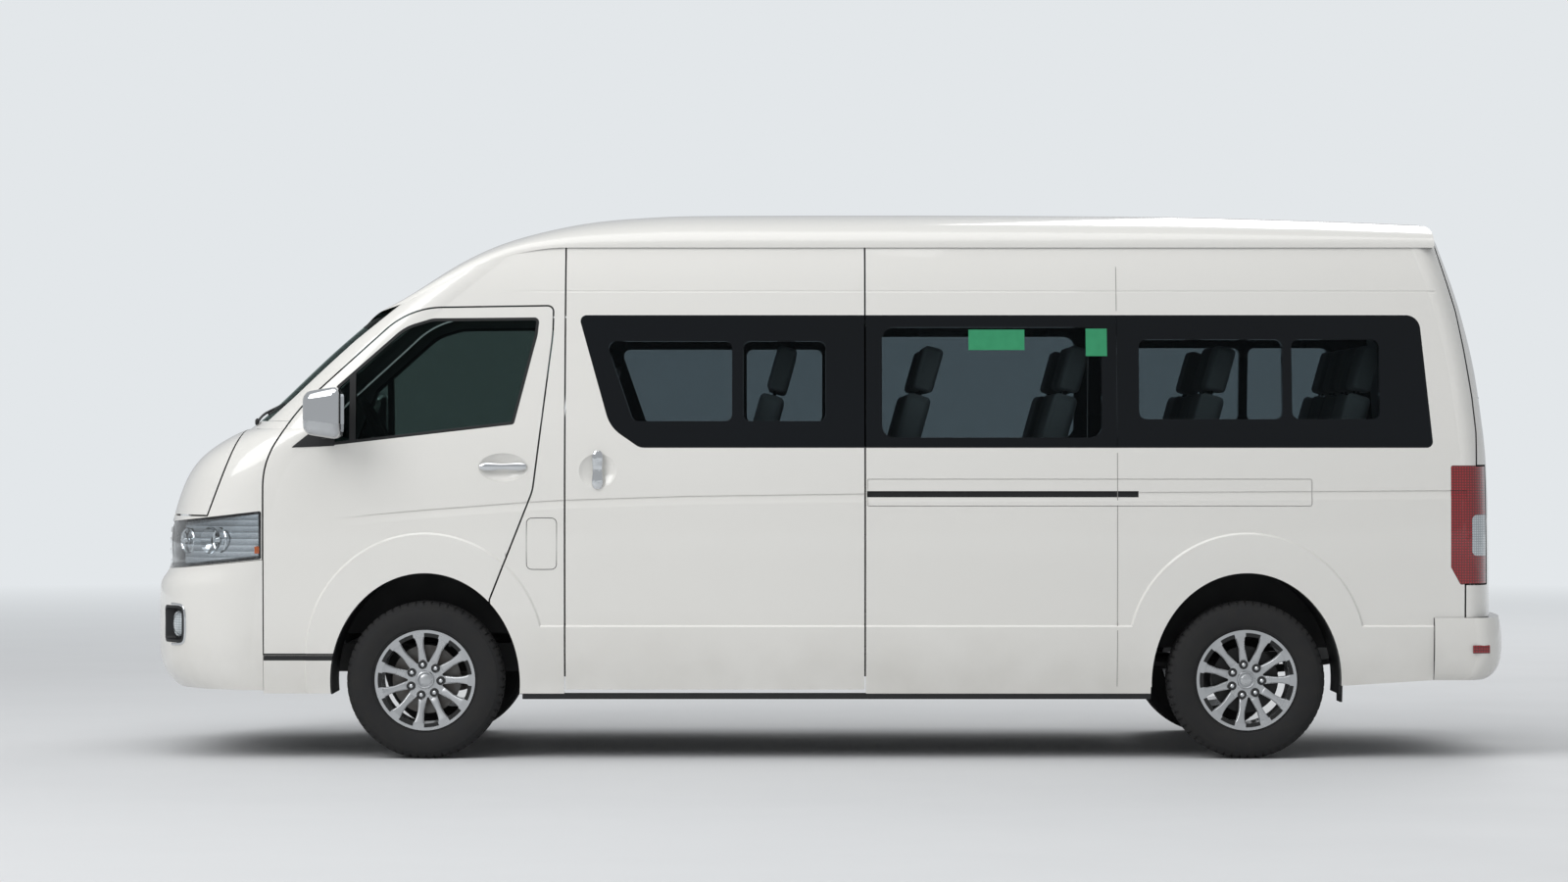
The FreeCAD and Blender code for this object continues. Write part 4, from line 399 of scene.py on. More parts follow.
@dataclass(frozen=True)
class Weave(Ridges):
    """Woven seat cloth with crossing threads, painted shade between them and soft patches of a
    darker tone.
    """

    ways: str = "YZ"
    unevenness: float = 0.6
    crossing: Crossing = Crossing.THREADS
    sheen: float = 0.3

    def dress(self, tree: Tree, shader: Node) -> Socket:
        """Adds the threads with painted shade between them, the patches and the sheen of loose
        fibre.

        Args:
            tree: Tree of the new material.
            shader: Its Principled shader.

        Returns:
            What the surface shows.
        """
        threads = self.ridges(tree, shader)
        place = add(tree, "TexCoord", output="Object")
        patch = add(tree, "TexNoise", {"Vector": place, "Scale": per_metre(self.patch_mm),
                                       "Detail": 3.0})
        patch = add(tree, "MapRange", (patch, 0.3, 0.8, 0.0, 0.5))
        # Painted shade: the gaps between the threads take the darker second colour.
        cloth = add(tree, "Mix", {0: threads, 6: self.shade, 7: self.colour}, 2,
                    data_type="RGBA")
        feed(shader, {"Sheen Weight": self.sheen,
                      "Base Color": add(tree, "Mix", {0: patch, 6: cloth, 7: self.shade}, 2,
                                        data_type="RGBA")})
        return shader.outputs["BSDF"]


@dataclass(frozen=True)
class FadedFloor(Finish):
    """Studio floor that fades into the surroundings away from the object."""

    near_m: float = 7.0
    far_m: float = 22.0
    surround: str = "#E3E7EA"

    def dress(self, tree: Tree, shader: Node) -> Socket:
        """Adds the patches and the fade with distance from the middle.

        Args:
            tree: Tree of the new material.
            shader: Its Principled shader.

        Returns:
            What the surface shows.
        """
        near = super().dress(tree, shader)
        place = add(tree, "TexCoord", output="Object")
        away = add(tree, "VectorMath", (place,), "Value", operation="LENGTH")
        far = add(tree, "MapRange", (away, self.near_m, self.far_m, 0.0, 1.0))
        rays = add(tree, "LightPath").node.outputs
        seen = add(tree, "Math", (rays["Is Camera Ray"], rays["Is Glossy Ray"]),
                   operation="MAXIMUM")
        share = add(tree, "Math", (far, seen), operation="MULTIPLY")
        return add(tree, "MixShader", (share, near, add(tree, "Emission", (self.surround,))))


# Two-pack enamel, sprayed and polished: warm white, glossy, with a faint ripple.
WHITE_ENAMEL = PanelEnamel("white_enamel", "#E4E2DD", 0.34, coat=1.0, shade="#DCDAD4",
                           patch_mm=420.0, grain_mm=14.0, grain_depth_mm=0.02)
# Bumpers are the same colour on moulded plastic, a little softer in gloss.
BUMPER_ENAMEL = PanelEnamel("bumper_enamel", "#E2E0DB", 0.4, coat=0.8, shade="#D8D6D0",
                            patch_mm=300.0, grain_mm=10.0, grain_depth_mm=0.03,
                            trim="#2A2B2C")
# Ceramic print on the edges of the side glass: near black, as glossy as the glass.
BLACK_PRINT = Finish("black_ceramic_print", "#070B0F", 0.05, ior=1.33,
                     shade="#0B1117", patch_mm=700.0, wear=0.02)
# Grey privacy glass: dark, but the cabin still shows.
PRIVACY_GLASS = ThinFilm("privacy_glass", "#0F1518", 0.03, ior=1.4, shade="#C6CDD0",
                         clear_share=0.87)
# Laminated glass with a light green-grey tint.
CLEAR_GLASS = ThinFilm("laminated_glass", "#10181A", 0.02, ior=1.4, shade="#B4BEBC",
                       clear_share=0.88)
# Injection-moulded polycarbonate lamp covers: clear and hard coated.
CLEAR_LENS = Glass("clear_polycarbonate", "#F2F6F8", 0.02, ior=1.58)
# Moulded acrylic lenses, red, clear and amber: prisms on the back break up the light. Their darker
# second colour is painted shade in the grooves.
RED_LENS = Ridges("red_acrylic", "#B8101A", 0.08, ior=1.49, coat=1.0, shade="#5E070C",
                  grain_depth_mm=0.6, pitch_mm=11.0)
WHITE_LENS = Ridges("clear_prism_acrylic", "#DDE2E4", 0.12, ior=1.49, coat=1.0,
                    shade="#9FA7AB", grain_depth_mm=0.5, pitch_mm=10.0)
AMBER_LENS = Ridges("amber_acrylic", "#D8691A", 0.1, ior=1.49, coat=1.0, shade="#8E3D0A",
                    grain_depth_mm=0.3, pitch_mm=6.0)
# Aluminium-coated moulding behind the headlamp cover: bright, in level steps, with painted shade low
# in each step.
RIBBED_REFLECTOR = Ridges("coated_reflector", "#C9CCCF", 0.12, metallic=1.0, shade="#8C9094",
                          grain_depth_mm=1.6, pitch_mm=26.0, ways="Z", wave=Wave.STEP)
# Polyurethane sealer in a panel joint: matt and a little dusty.
SEAM_SEALER = Finish("joint_sealer", "#8D8B87", 0.6, shade="#7B7975", patch_mm=80.0,
                     grain_mm=2.0, grain_depth_mm=0.05)
# Chrome plate and vacuum-coated bowls: a clear mirror with faint haze.
BRIGHT_CHROME = Finish("chrome_plate", "#D6D8DA", 0.06, metallic=1.0, patch_mm=120.0, wear=0.03)
# Cast aluminium under silver lacquer: bright, with a soft sparkle under the gloss.
SILVER_ALLOY = Finish("silver_lacquered_alloy", "#BFC1C3", 0.3, metallic=0.85, coat=0.6,
                      shade="#A9ABAD", patch_mm=60.0, grain_mm=0.8, grain_depth_mm=0.02)
# Gloss black lacquer round the wheel nuts and on the dials.
BLACK_LACQUER = Finish("black_pocket_lacquer", "#101113", 0.3, coat=0.5, shade="#1C1D1F",
                       patch_mm=15.0)
# Tyre rubber, cured in a mould: matt, with road dust in its pores.
TYRE_RUBBER = Finish("tyre_rubber", "#151517", 0.82, shade="#2A2927", shade_share=0.6,
                     patch_mm=45.0, grain_mm=1.2, grain_depth_mm=0.12)
# Extruded rubber seals and valves: smoother than the tyres. The same matt black also makes the arcs
# of painted shade on the rims.
GASKET_RUBBER = Finish("extruded_rubber", "#0E0F10", 0.6, grain_mm=1.5, grain_depth_mm=0.05)
# Moulded polypropylene with a fine leather grain, black outside and grey in the cabin.
BLACK_PLASTIC = Finish("black_polypropylene", "#18191A", 0.62, shade="#26272A", patch_mm=90.0,
                       grain_mm=1.6, grain_depth_mm=0.08)
GREY_PLASTIC = Finish("grey_polypropylene", "#77797A", 0.66, shade="#6A6C6D", patch_mm=120.0,
                      grain_mm=1.8, grain_depth_mm=0.08)
# Vinyl floor covering: speckled, with a low sheen.
FLOOR_VINYL = Finish("speckled_vinyl", "#5A5C5E", 0.6, shade="#4A4B4D", patch_mm=8.0,
                     grain_mm=4.0, grain_depth_mm=0.05)
# Pressed steel under black wax: dull, with dry mud.
CHASSIS_BLACK = Finish("waxed_steel", "#17181A", 0.55, shade="#2C2A27", shade_share=0.6,
                       patch_mm=60.0, grain_mm=3.0, grain_depth_mm=0.1)
# Turned cast iron: grey metal with a breath of rust.
CAST_IRON = Finish("turned_cast_iron", "#6B6A68", 0.42, metallic=0.9, shade="#5A4B40",
                   patch_mm=40.0, grain_mm=1.0, grain_depth_mm=0.04)
# Woven polyester: real threads of about 1 mm are drawn 5 mm apart, so that they show. Its darker
# second colour is painted shade between the threads and also a real patchy tone.
SEAT_CLOTH = Weave("woven_seat_cloth", "#A8A7A4", 0.9, shade="#8A8986", patch_mm=160.0,
                   grain_depth_mm=0.4, pitch_mm=5.0)
# Silvered mirror glass.
MIRROR_SILVER = Finish("mirror_silver", "#E8ECEE", 0.01, metallic=1.0, patch_mm=300.0, wear=0.01)
# Calendered green vinyl on the glass.
GREEN_FILM = Finish("green_vinyl_film", "#1F8A5B", 0.35, coat=0.5, shade="#2A9A69",
                    patch_mm=30.0)
# Screed of the studio: pale, so that the shadow shows.
PALE_FLOOR = FadedFloor("pale_screed", "#D5D6D7", 0.7, shade="#CFD0D1", patch_mm=900.0,
                        grain_mm=6.0, grain_depth_mm=0.1)


# Modelling steps, as by hand


def deselect() -> None:
    """Leaves nothing selected, because the loaded solids come in selected."""
    bpy.ops.object.select_all(action="DESELECT")


def edit_all() -> None:
    """Opens the active piece in edit mode with all of it selected."""
    bpy.ops.object.mode_set(mode="EDIT")
    bpy.ops.mesh.select_all(action="SELECT")


def extrude(way: Sequence[float]) -> None:
    """Extrudes the selection along a way."""
    bpy.ops.mesh.extrude_region_move(TRANSFORM_OT_translate={"value": tuple(way)})


def turned(degrees: float, axis: str = "Z") -> Matrix:
    """Gives a turn about an axis through the origin."""
    return Matrix.Rotation(math.radians(degrees), 4, axis)


def rename(piece: Piece, name: str) -> Piece:
    """Names a piece and its mesh alike.

    Args:
        piece: The piece.
        name: Its new name.

    Returns:
        The same piece.
    """
    piece.name = name
    piece.data.name = name
    return piece


def start_piece(name: str, kind: str, **sizes: object) -> Piece:
    """Adds a primitive and names it, with vertices as what edit steps select.

    Args:
        name: Name of the new piece.
        kind: Blender's name of the primitive, such as "cylinder".
        sizes: Sizes and place of the primitive.

    Returns:
        The new object, alone selected and active.
    """
    deselect()
    bpy.context.tool_settings.mesh_select_mode = (True, False, False)
    getattr(bpy.ops.mesh, f"primitive_{kind}_add")(**sizes)
    bpy.ops.object.transform_apply(location=True, rotation=True, scale=True)
    return rename(bpy.context.object, name)


def pick(element: Element, test: Callable[[Vector, Vector], bool]) -> None:
    """Opens the active piece in edit mode and selects the elements that pass a test.

    Args:
        element: Kind of element to pick.
        test: Takes the middle of a face and its normal, or of an edge and its direction.
    """
    piece = bpy.context.object
    bpy.ops.object.mode_set(mode="EDIT")
    bpy.ops.mesh.select_mode(type=element.value)
    bpy.ops.mesh.select_all(action="DESELECT")
    work = bmesh.from_edit_mesh(piece.data)
    work.normal_update()
    if element is Element.EDGE:
        rows = [(item, (item.verts[0].co + item.verts[1].co) / 2,
                 (item.verts[1].co - item.verts[0].co).normalized()) for item in work.edges]
    else:
        rows = [(item, item.calc_center_median(), item.normal) for item in work.faces]
    for item, middle, way in rows:
        if test(middle, way):
            item.select_set(True)
    work.select_flush_mode()
    bmesh.update_edit_mesh(piece.data)


def close_edit(smooth_degrees: float | None = 35.0) -> Piece:
    """Leaves edit mode with doubles merged, normals outward and smooth shading.

    Args:
        smooth_degrees: Edges sharper than this stay sharp; None leaves the shading flat.

    Returns:
        The finished object.
    """
    edit_all()
    bpy.ops.mesh.remove_doubles(threshold=0.02 * MM)
    bpy.ops.mesh.normals_make_consistent(inside=False)
    bpy.ops.mesh.select_all(action="DESELECT")
    bpy.ops.object.mode_set(mode="OBJECT")
    if smooth_degrees is not None:
        bpy.ops.object.shade_smooth_by_angle(angle=math.radians(smooth_degrees))
    return bpy.context.object


def with_modifier(kind: str, **settings: object) -> None:
    """Adds a modifier to the active piece and applies it.

    Args:
        kind: Blender's name of the modifier type.
        settings: Properties of the modifier.
    """
    modifier = bpy.context.object.modifiers.new(kind.title(), kind)
    for name, value in settings.items():
        setattr(modifier, name, value)
    bpy.ops.object.modifier_apply(modifier=modifier.name)


def draw(name: str, points: Sequence[Point]) -> None:
    """Draws an open line of edges as a new piece, left in edit mode and all selected.

    Args:
        name: Name of the new piece.
        points: Points of the line in order.
    """
    start_piece(name, "plane", size=MM)
    edit_all()
    bpy.ops.mesh.merge(type="CENTER")
    bpy.ops.transform.translate(value=points[0])
    for before, after in zip(points, points[1:]):
        extrude([high - low for low, high in zip(before, after)])
    bpy.ops.mesh.select_all(action="SELECT")


def lathe(name: str, profile: Profile, steps: int, smooth_degrees: float = 40.0) -> Piece:
    """Turns an open profile once round the Y axis.

    Args:
        name: Name of the new piece.
        profile: Radius and place along Y of each point.
        steps: Steps round the full turn.
        smooth_degrees: Edges sharper than this stay sharp.

    Returns:
        The turned piece.
    """
    draw(name, [(radius, along, 0.0) for radius, along in profile])
    bpy.ops.mesh.spin(steps=steps, angle=math.tau, center=(0.0, 0.0, 0.0), axis=ACROSS)
    return close_edit(smooth_degrees)


def plate(name: str, outline: Sequence[Point], depth: Point, round_mm: float = 0.0) -> Piece:
    """Fills a closed outline and gives it a thickness.

    Args:
        name: Name of the new piece.
        outline: Corners of the outline in order.
        depth: Way that the filled outline is pushed out.
        round_mm: Radius of the rounded edges in millimetres.

    Returns:
        The plate.
    """
    draw(name, outline)
    bpy.ops.mesh.edge_face_add()
    extrude(depth)
    close_edit(None)
    if round_mm:
        with_modifier("BEVEL", width=round_mm * MM, segments=3, limit_method="ANGLE")
    return close_edit()


def tube(name: str, points: Sequence[Point], radius_mm: float) -> Piece:
    """Draws a round bar along a smooth line through a few points.

    Args:
        name: Name of the new piece.
        points: Control points of the line.
        radius_mm: Radius of the bar in millimetres.

    Returns:
        The bar as a mesh.
    """
    deselect()
    bpy.ops.curve.primitive_nurbs_path_add()
    curve = bpy.context.object.data
    curve.splines.clear()
    spline = curve.splines.new("NURBS")
    spline.points.add(len(points) - 1)
    for knot, place in zip(spline.points, points):
        knot.co = (*place, 1.0)
    spline.order_u = 3
    spline.use_endpoint_u = True
    curve.resolution_u = 6
    curve.bevel_depth = radius_mm * MM
    curve.bevel_resolution = 4
    curve.use_fill_caps = True
    bpy.ops.object.convert(target="MESH")
    bpy.ops.object.transform_apply(location=True, rotation=True, scale=True)
    rename(bpy.context.object, name)
    return close_edit(40.0)


def block(name: str, size: Point, round_mm: float, segments: int = 4) -> Piece:
    """Makes a block with rounded edges, its middle at the origin.

    Args:
        name: Name of the new piece.
        size: Length along X, Y and Z.
        round_mm: Radius of the edges in millimetres.
        segments: Steps round each edge.

    Returns:
        The rounded block.
    """
    start_piece(name, "cube", size=1.0, scale=size)
    edit_all()
    bpy.ops.mesh.bevel(offset=round_mm * MM, segments=segments, profile=0.5)
    return close_edit(60.0)


def put(piece: Piece, place: Sequence[float], turn: Matrix = Matrix.Identity(4)) -> Piece:
    """Turns a piece's mesh about the origin and moves it to its place.

    Args:
        piece: The piece.
        place: Where its origin goes.
        turn: How it turns before that.

    Returns:
        The same piece.
    """
    piece.data.transform(Matrix.Translation(place) @ turn)
    return piece


def copy_piece(piece: Piece, name: str, move: Matrix) -> Piece:
    """Copies a piece with a mesh of its own and moves the copy's mesh.

    Args:
        piece: Piece to copy.
        name: Name of the copy.
        move: Where the copy's mesh goes.

    Returns:
        The copy, its object at the origin.
    """
    twin = piece.copy()
    twin.data = piece.data.copy()
    bpy.context.collection.objects.link(twin)
    twin.data.transform(move)
    if move.determinant() < 0:
        twin.data.flip_normals()
    return rename(twin, name)


def join_pieces(name: str, pieces: Sequence[Piece]) -> Piece:
    """Joins several pieces into one named object.

    Args:
        name: Name of the whole.
        pieces: The pieces, which may be a single one.

    Returns:
        The whole.
    """
    deselect()
    for piece in pieces:
        piece.select_set(True)
    bpy.context.view_layer.objects.active = pieces[0]
    if len(pieces) > 1:
        bpy.ops.object.join()
    return rename(bpy.context.object, name)


def drop_piece(piece: Piece) -> None:
    """Removes a pattern piece whose copies are in use."""
    bpy.data.meshes.remove(piece.data)


@dataclass
class SubAssembly:
    """Pieces that are made, dressed and handed over together."""

    frame: dict
    made: list[str] = field(default_factory=list)

    def solids(self, finish: Finish, *nodes: str) -> None:
        """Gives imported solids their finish.

        Args:
            finish: The finish.
            nodes: Names of the solids.
        """
        for node in nodes:
            piece = self.frame["nodes"][node]
            if not piece.material_slots:
                piece.data.materials.append(finish.material())
            for slot in piece.material_slots:
                slot.material = finish.material()
        self.made.extend(nodes)

    def fit(self, piece: Piece, finish: Finish, body: str, slot: str,
            replaces: Sequence[str] = ()) -> None:
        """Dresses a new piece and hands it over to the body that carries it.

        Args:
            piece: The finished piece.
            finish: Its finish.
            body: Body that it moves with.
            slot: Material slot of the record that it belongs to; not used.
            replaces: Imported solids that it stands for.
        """
        piece.data.materials.clear()
        piece.data.materials.append(finish.material())
        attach(piece, body)
        if replaces:
            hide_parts(*replaces)
        self.made.append(piece.name)

    def both(self, piece: Piece, finish: Finish, body: str, slot: str,
             replaces: Sequence[str] = ()) -> None:
        """Hands over a left piece named with left, and its mirrored copy on the right.

        Args:
            piece: The left piece.
            finish: Finish of both.
            body: Body of the left piece.
            slot: Material slot of both.
            replaces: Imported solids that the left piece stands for.
        """
        twin = copy_piece(piece, piece.name.replace("left", "right"),
                          Matrix.Scale(-1.0, 4, ACROSS))
        for side, half in (("left", piece), ("right", twin)):
            self.fit(half, finish, body.replace("left", side), slot,
                     [node.replace("left", side) for node in replaces])

    def meet(self, nodes: Sequence[str], start: Sequence[float], way: Point) -> Vector | None:
        """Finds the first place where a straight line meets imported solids.

        Args:
            nodes: The solids.
            start: Where the line starts.
            way: Direction of the line.

        Returns:
            The place, or None where it meets nothing.
        """
        begin = Vector(start)
        found = [self.frame["nodes"][node].ray_cast(begin, Vector(way)) for node in nodes]
        return min((spot for hit, spot, _, _ in found if hit),
                   key=lambda spot: (spot - begin).length, default=None)

    def skin(self, nodes: Sequence[str], place: float, level: float) -> float:
        """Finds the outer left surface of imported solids.

        Args:
            nodes: The solids.
            place: Place along X.
            level: Height.

        Returns:
            Place along Y of the surface, or of the side's widest line where there is none.
        """
        spot = self.meet(nodes, (place, -OUTSIDE, level), ACROSS)
        return spot.y if spot else SIDE_LINE

    def front(self, side: float, level: float) -> float:
        """Gives the place along X of the front bumper's skin at a side place and height."""
        return self.meet(["front_bumper"], (-OUTSIDE, side, level), ALONG).x

    def hug(self, name: str, nodes: Sequence[str], low: Spot, top: Spot, proud_mm: float,
            cuts: int) -> Piece:
        """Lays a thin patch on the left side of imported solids, following their curve.

        Args:
            name: Name of the new piece.
            nodes: Solids that it lies on.
            low: Place along X and height of its lower front corner.
            top: Place along X and height of its upper rear corner.
            proud_mm: How far it stands proud.
            cuts: Cuts each way that let it bend.

        Returns:
            The patch.
        """
        piece = start_piece(name, "plane", size=1.0, rotation=(QUARTER, 0.0, 0.0))
        piece.data.transform(Matrix.Diagonal((top[0] - low[0], 1.0, top[1] - low[1], 1.0)))
        edit_all()
        bpy.ops.mesh.subdivide(number_cuts=cuts)
        bpy.ops.object.mode_set(mode="OBJECT")
        middle = Vector(((low[0] + top[0]) / 2, 0.0, (low[1] + top[1]) / 2))
        for vert in piece.data.vertices:
            spot = vert.co + middle
            vert.co = (spot.x, self.skin(nodes, spot.x, spot.z) - proud_mm * MM, spot.z)
        close_edit(None)
        with_modifier("SOLIDIFY", thickness=0.5 * MM, offset=0.0)
        return close_edit()

    def report(self) -> None:
        """Logs what this sub-assembly made."""
        LOG.info("%s: %s", type(self).__name__, ", ".join(self.made))


@dataclass
class BodyShell(SubAssembly):
    """Painted panels, bumpers, black window surrounds, seams and trims."""

    seam: float = 1.197
    seam_mm: float = 3.0
    seam_proud_mm: float = 0.1
    seam_cuts: int = 24
    seam_spans: tuple[Spot, ...] = ((0.30, 1.267), (1.856, 2.04))
    flap_low: Spot = (-1.247, 0.785)
    flap_top: Spot = (-1.122, 0.998)
    flap_round: float = 0.022
    flap_sunk: float = 0.0004
    flap_line_mm: float = 1.5
    handle_level: float = 1.02
    handle: Point = (0.026, 0.46, 0.062)
    handle_out: float = 0.006
    pull: Point = (0.012, 0.30, 0.026)
    pull_out: float = 0.017
    reflector: Spot = (2.7, 0.455)
    reflector_size: Point = (0.075, 0.006, 0.034)
    reflector_turn: float = 14.0
    intake_half: float = 0.466
    intake_low: float = 0.402
    intake_top: float = 0.512
    intake_edge: float = 0.02
    intake_sunk: float = 0.030
    intake_bars: int = 5
    intake_cells: int = 24
    bar_mm: float = 4.0
    post: Spot = (0.010, 0.005)
    post_sunk: float = 0.003
    wall_thick: float = 0.004
    wall_overlap: float = 0.002
    wall_sunk: float = 0.016

    def seams(self) -> None:
        """Lays the sealed joint between the rear side panels."""
        half = self.seam_mm * MM / 2
        for index, (low, top) in enumerate(self.seam_spans):
            piece = self.hug(f"panel_joint_left_{index}", ["side_left"],
                             (self.seam - half, low), (self.seam + half, top),
                             self.seam_proud_mm, self.seam_cuts)
            self.both(piece, SEAM_SEALER, "body", "black_plastic")

    def flap(self) -> None:
        """Draws the shut line round the fuel flap on the left side."""
        (front, low), (rear, top) = self.flap_low, self.flap_top
        bend = self.flap_round
        knots = []
        for corner, (place, level) in enumerate(((rear - bend, top - bend),
                                                 (front + bend, top - bend),
                                                 (front + bend, low + bend),
                                                 (rear - bend, low + bend))):
            for step in range(5):
                angle = QUARTER * (corner + step / 4)
                x, z = place + bend * math.cos(angle), level + bend * math.sin(angle)
                knots.append((x, self.skin(["side_left"], x, z) + self.flap_sunk, z))
        knots.append(knots[0])
        line = tube("fuel_flap_line", knots, self.flap_line_mm)
        self.fit(line, GASKET_RUBBER, "body", "black_plastic")

    def tailgate_trim(self) -> None:
        """Adds the pull handle under the rear window and the red bumper reflectors."""
        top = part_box("tailgate")[1]
        level = self.handle_level
        face = self.meet(["tailgate"], (top.x + OUTSIDE, 0.0, level), (-1.0, 0.0, 0.0)).x
        handle = put(block("tailgate_handle", self.handle, round_mm=9.0),
                     (face + self.handle_out, 0.0, level))
        self.fit(handle, WHITE_ENAMEL, "tailgate", "paint")
        pull = put(block("tailgate_pull", self.pull, round_mm=5.0),
                   (face + self.pull_out, 0.0, level - self.pull[2]))
        self.fit(pull, BLACK_PLASTIC, "tailgate", "black_plastic")
        place, rise = self.reflector
        wide = self.skin(["rear_bumper"], place, rise) + MM
        piece = put(block("bumper_reflector_left", self.reflector_size, round_mm=2.5),
                    (place, wide, rise), turned(self.reflector_turn))
        self.both(piece, RED_LENS, "body", "red_lamp")

    def intake(self) -> None:
        """Closes the bumper's lower intake with a black grid behind its edge."""
        half, low, top = self.intake_half, self.intake_low, self.intake_top
        cells, tall, middle = self.intake_cells, top - low, (low + top) / 2
        sides = [half * (2 * index / cells - 1) for index in range(cells + 1)]
        bend = [self.front(side, low - self.intake_edge) + self.intake_sunk for side in sides]
        bars = []
        for row in range(self.intake_bars):
            level = low + tall * (row + 0.5) / self.intake_bars
            knots = [(bend[index], sides[index], level) for index in range(0, cells + 1, 4)]
            bars.append(tube("intake_bar", knots, self.bar_mm))
        for index, side in enumerate(sides):
            post = block("intake_post", (*self.post, tall), round_mm=1.5, segments=2)
            bars.append(put(post, (bend[index] + self.post_sunk, side, middle)))
        wide = 2 * half / cells + self.wall_overlap
        for index in range(cells):
            wall = block("intake_wall", (self.wall_thick, wide, tall), round_mm=1.0, segments=1)
            bars.append(put(wall, ((bend[index] + bend[index + 1]) / 2 + self.wall_sunk,
                                   (sides[index] + sides[index + 1]) / 2, middle)))
        self.fit(join_pieces("intake_mesh", bars), BLACK_PLASTIC, "body", "black_plastic")

    def build(self) -> None:
        """Gives the panels their finishes and adds the trims."""
        self.solids(WHITE_ENAMEL, "roof", "nose_panel", "bonnet", "side_left", "side_right",
                    "sliding_door_left", "sliding_door_right", "door_left", "door_right",
                    "tailgate")
        self.solids(BUMPER_ENAMEL, "front_bumper", "rear_bumper")
        self.solids(BLACK_PRINT, "window_bands")
        self.solids(BLACK_PLASTIC, "sill_trims", "wheel_liners", "slider_tracks")
        self.solids(GASKET_RUBBER, "door_seal_left", "door_seal_right")
        self.solids(BRIGHT_CHROME, "grille", "slider_handles", "door_handle_left",
                    "door_handle_right")
        self.seams()
        self.flap()
        self.tailgate_trim()
        self.intake()


@dataclass
class Glazing(SubAssembly):
    """Windscreen, panes, wipers and the green window film."""

    films: tuple[tuple[str, Spot, Spot], ...] = (
        ("green_film_wide", (0.583, 1.693), (0.815, 1.778)),
        ("green_film_square", (1.069, 1.668), (1.157, 1.782)),
    )
    film_proud_mm: float = 0.6
    film_cuts: int = 8
    # Name, place along Y of the pivot and of the blade's middle.
    front_wipers: tuple[tuple[str, float, float], ...] = (
        ("wiper_left", -0.60, -0.14), ("wiper_right", 0.10, 0.50))
    rear_sweep: float = -0.26
    pivot_out: float = 0.012
    front_levels: Spot = (-0.005, 0.075)
    rear_levels: Spot = (-0.03, 0.05)
    blade_half: float = 0.27
    blade_lift: float = 0.006
    blade_mm: float = 5.0
    arm_mm: float = 5.5
    arm_line: tuple[Spot, ...] = ((0.35, 0.030), (0.7, 0.024), (1.0, 0.018))
    pivot: Profile = ((0.0, -0.012), (0.010, -0.011), (0.015, -0.006), (0.016, 0.0))

    def wiper(self, name: str, root: Point, tip: Point, node: str, body: str) -> None:
        """Adds one wiper: pivot cap, arm and blade lying on the glass.

        Args:
            name: Name of the wiper.
            root: Pivot of the arm.
            tip: Middle of the blade.
            node: Glass that the blade lies on.
            body: Body that carries it.
        """
        start, end = Vector(root), Vector(tip)
        sign = math.copysign(1.0, root[0])

        def on_glass(place: Vector, lift: float) -> Vector:
            """Lifts a place off the glass, or off itself beside the glass."""
            spot = self.meet([node], (sign * OUTSIDE, place.y, place.z), (-sign, 0.0, 0.0))
            return (spot or place) + Vector((sign * lift, 0.0, 0.0))

        arm = tube(f"{name}_arm", [root] + [on_glass(start.lerp(end, share), lift)
                                            for share, lift in self.arm_line], self.arm_mm)
        along = (end - start).normalized() * self.blade_half
        blade = tube(f"{name}_blade", [on_glass(end + along * step / 3, self.blade_lift)
                                       for step in range(-3, 4)], self.blade_mm)
        cap = put(lathe(f"{name}_cap", self.pivot, steps=24), root, turned(90.0 * sign))
        self.fit(join_pieces(name, [arm, blade, cap]), BLACK_PLASTIC, body, "black_plastic")

    def build(self) -> None:
        """Gives the glass its finishes and adds the film and the wipers."""
        self.solids(PRIVACY_GLASS, "window_panes", "tailgate_glass")
        self.solids(CLEAR_GLASS, "windscreen", "door_glass_left", "door_glass_right")
        for name, low, top in self.films:
            piece = self.hug(name, ["window_panes", "window_bands"], low, top,
                             self.film_proud_mm, self.film_cuts)
            self.fit(piece, GREEN_FILM, "body", "glass")
        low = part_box("windscreen")[0]
        foot, rise = self.front_levels
        for name, pivot, middle in self.front_wipers:
            self.wiper(name, (low.x + self.pivot_out, pivot, low.z + foot),
                       (low.x, middle, low.z + rise), "windscreen", "body")
        low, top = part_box("tailgate_glass")
        foot, rise = self.rear_levels
        self.wiper("wiper_rear", (top.x + self.pivot_out, 0.0, low.z + foot),
                   (top.x, self.rear_sweep, low.z + rise), "tailgate_glass", "tailgate")


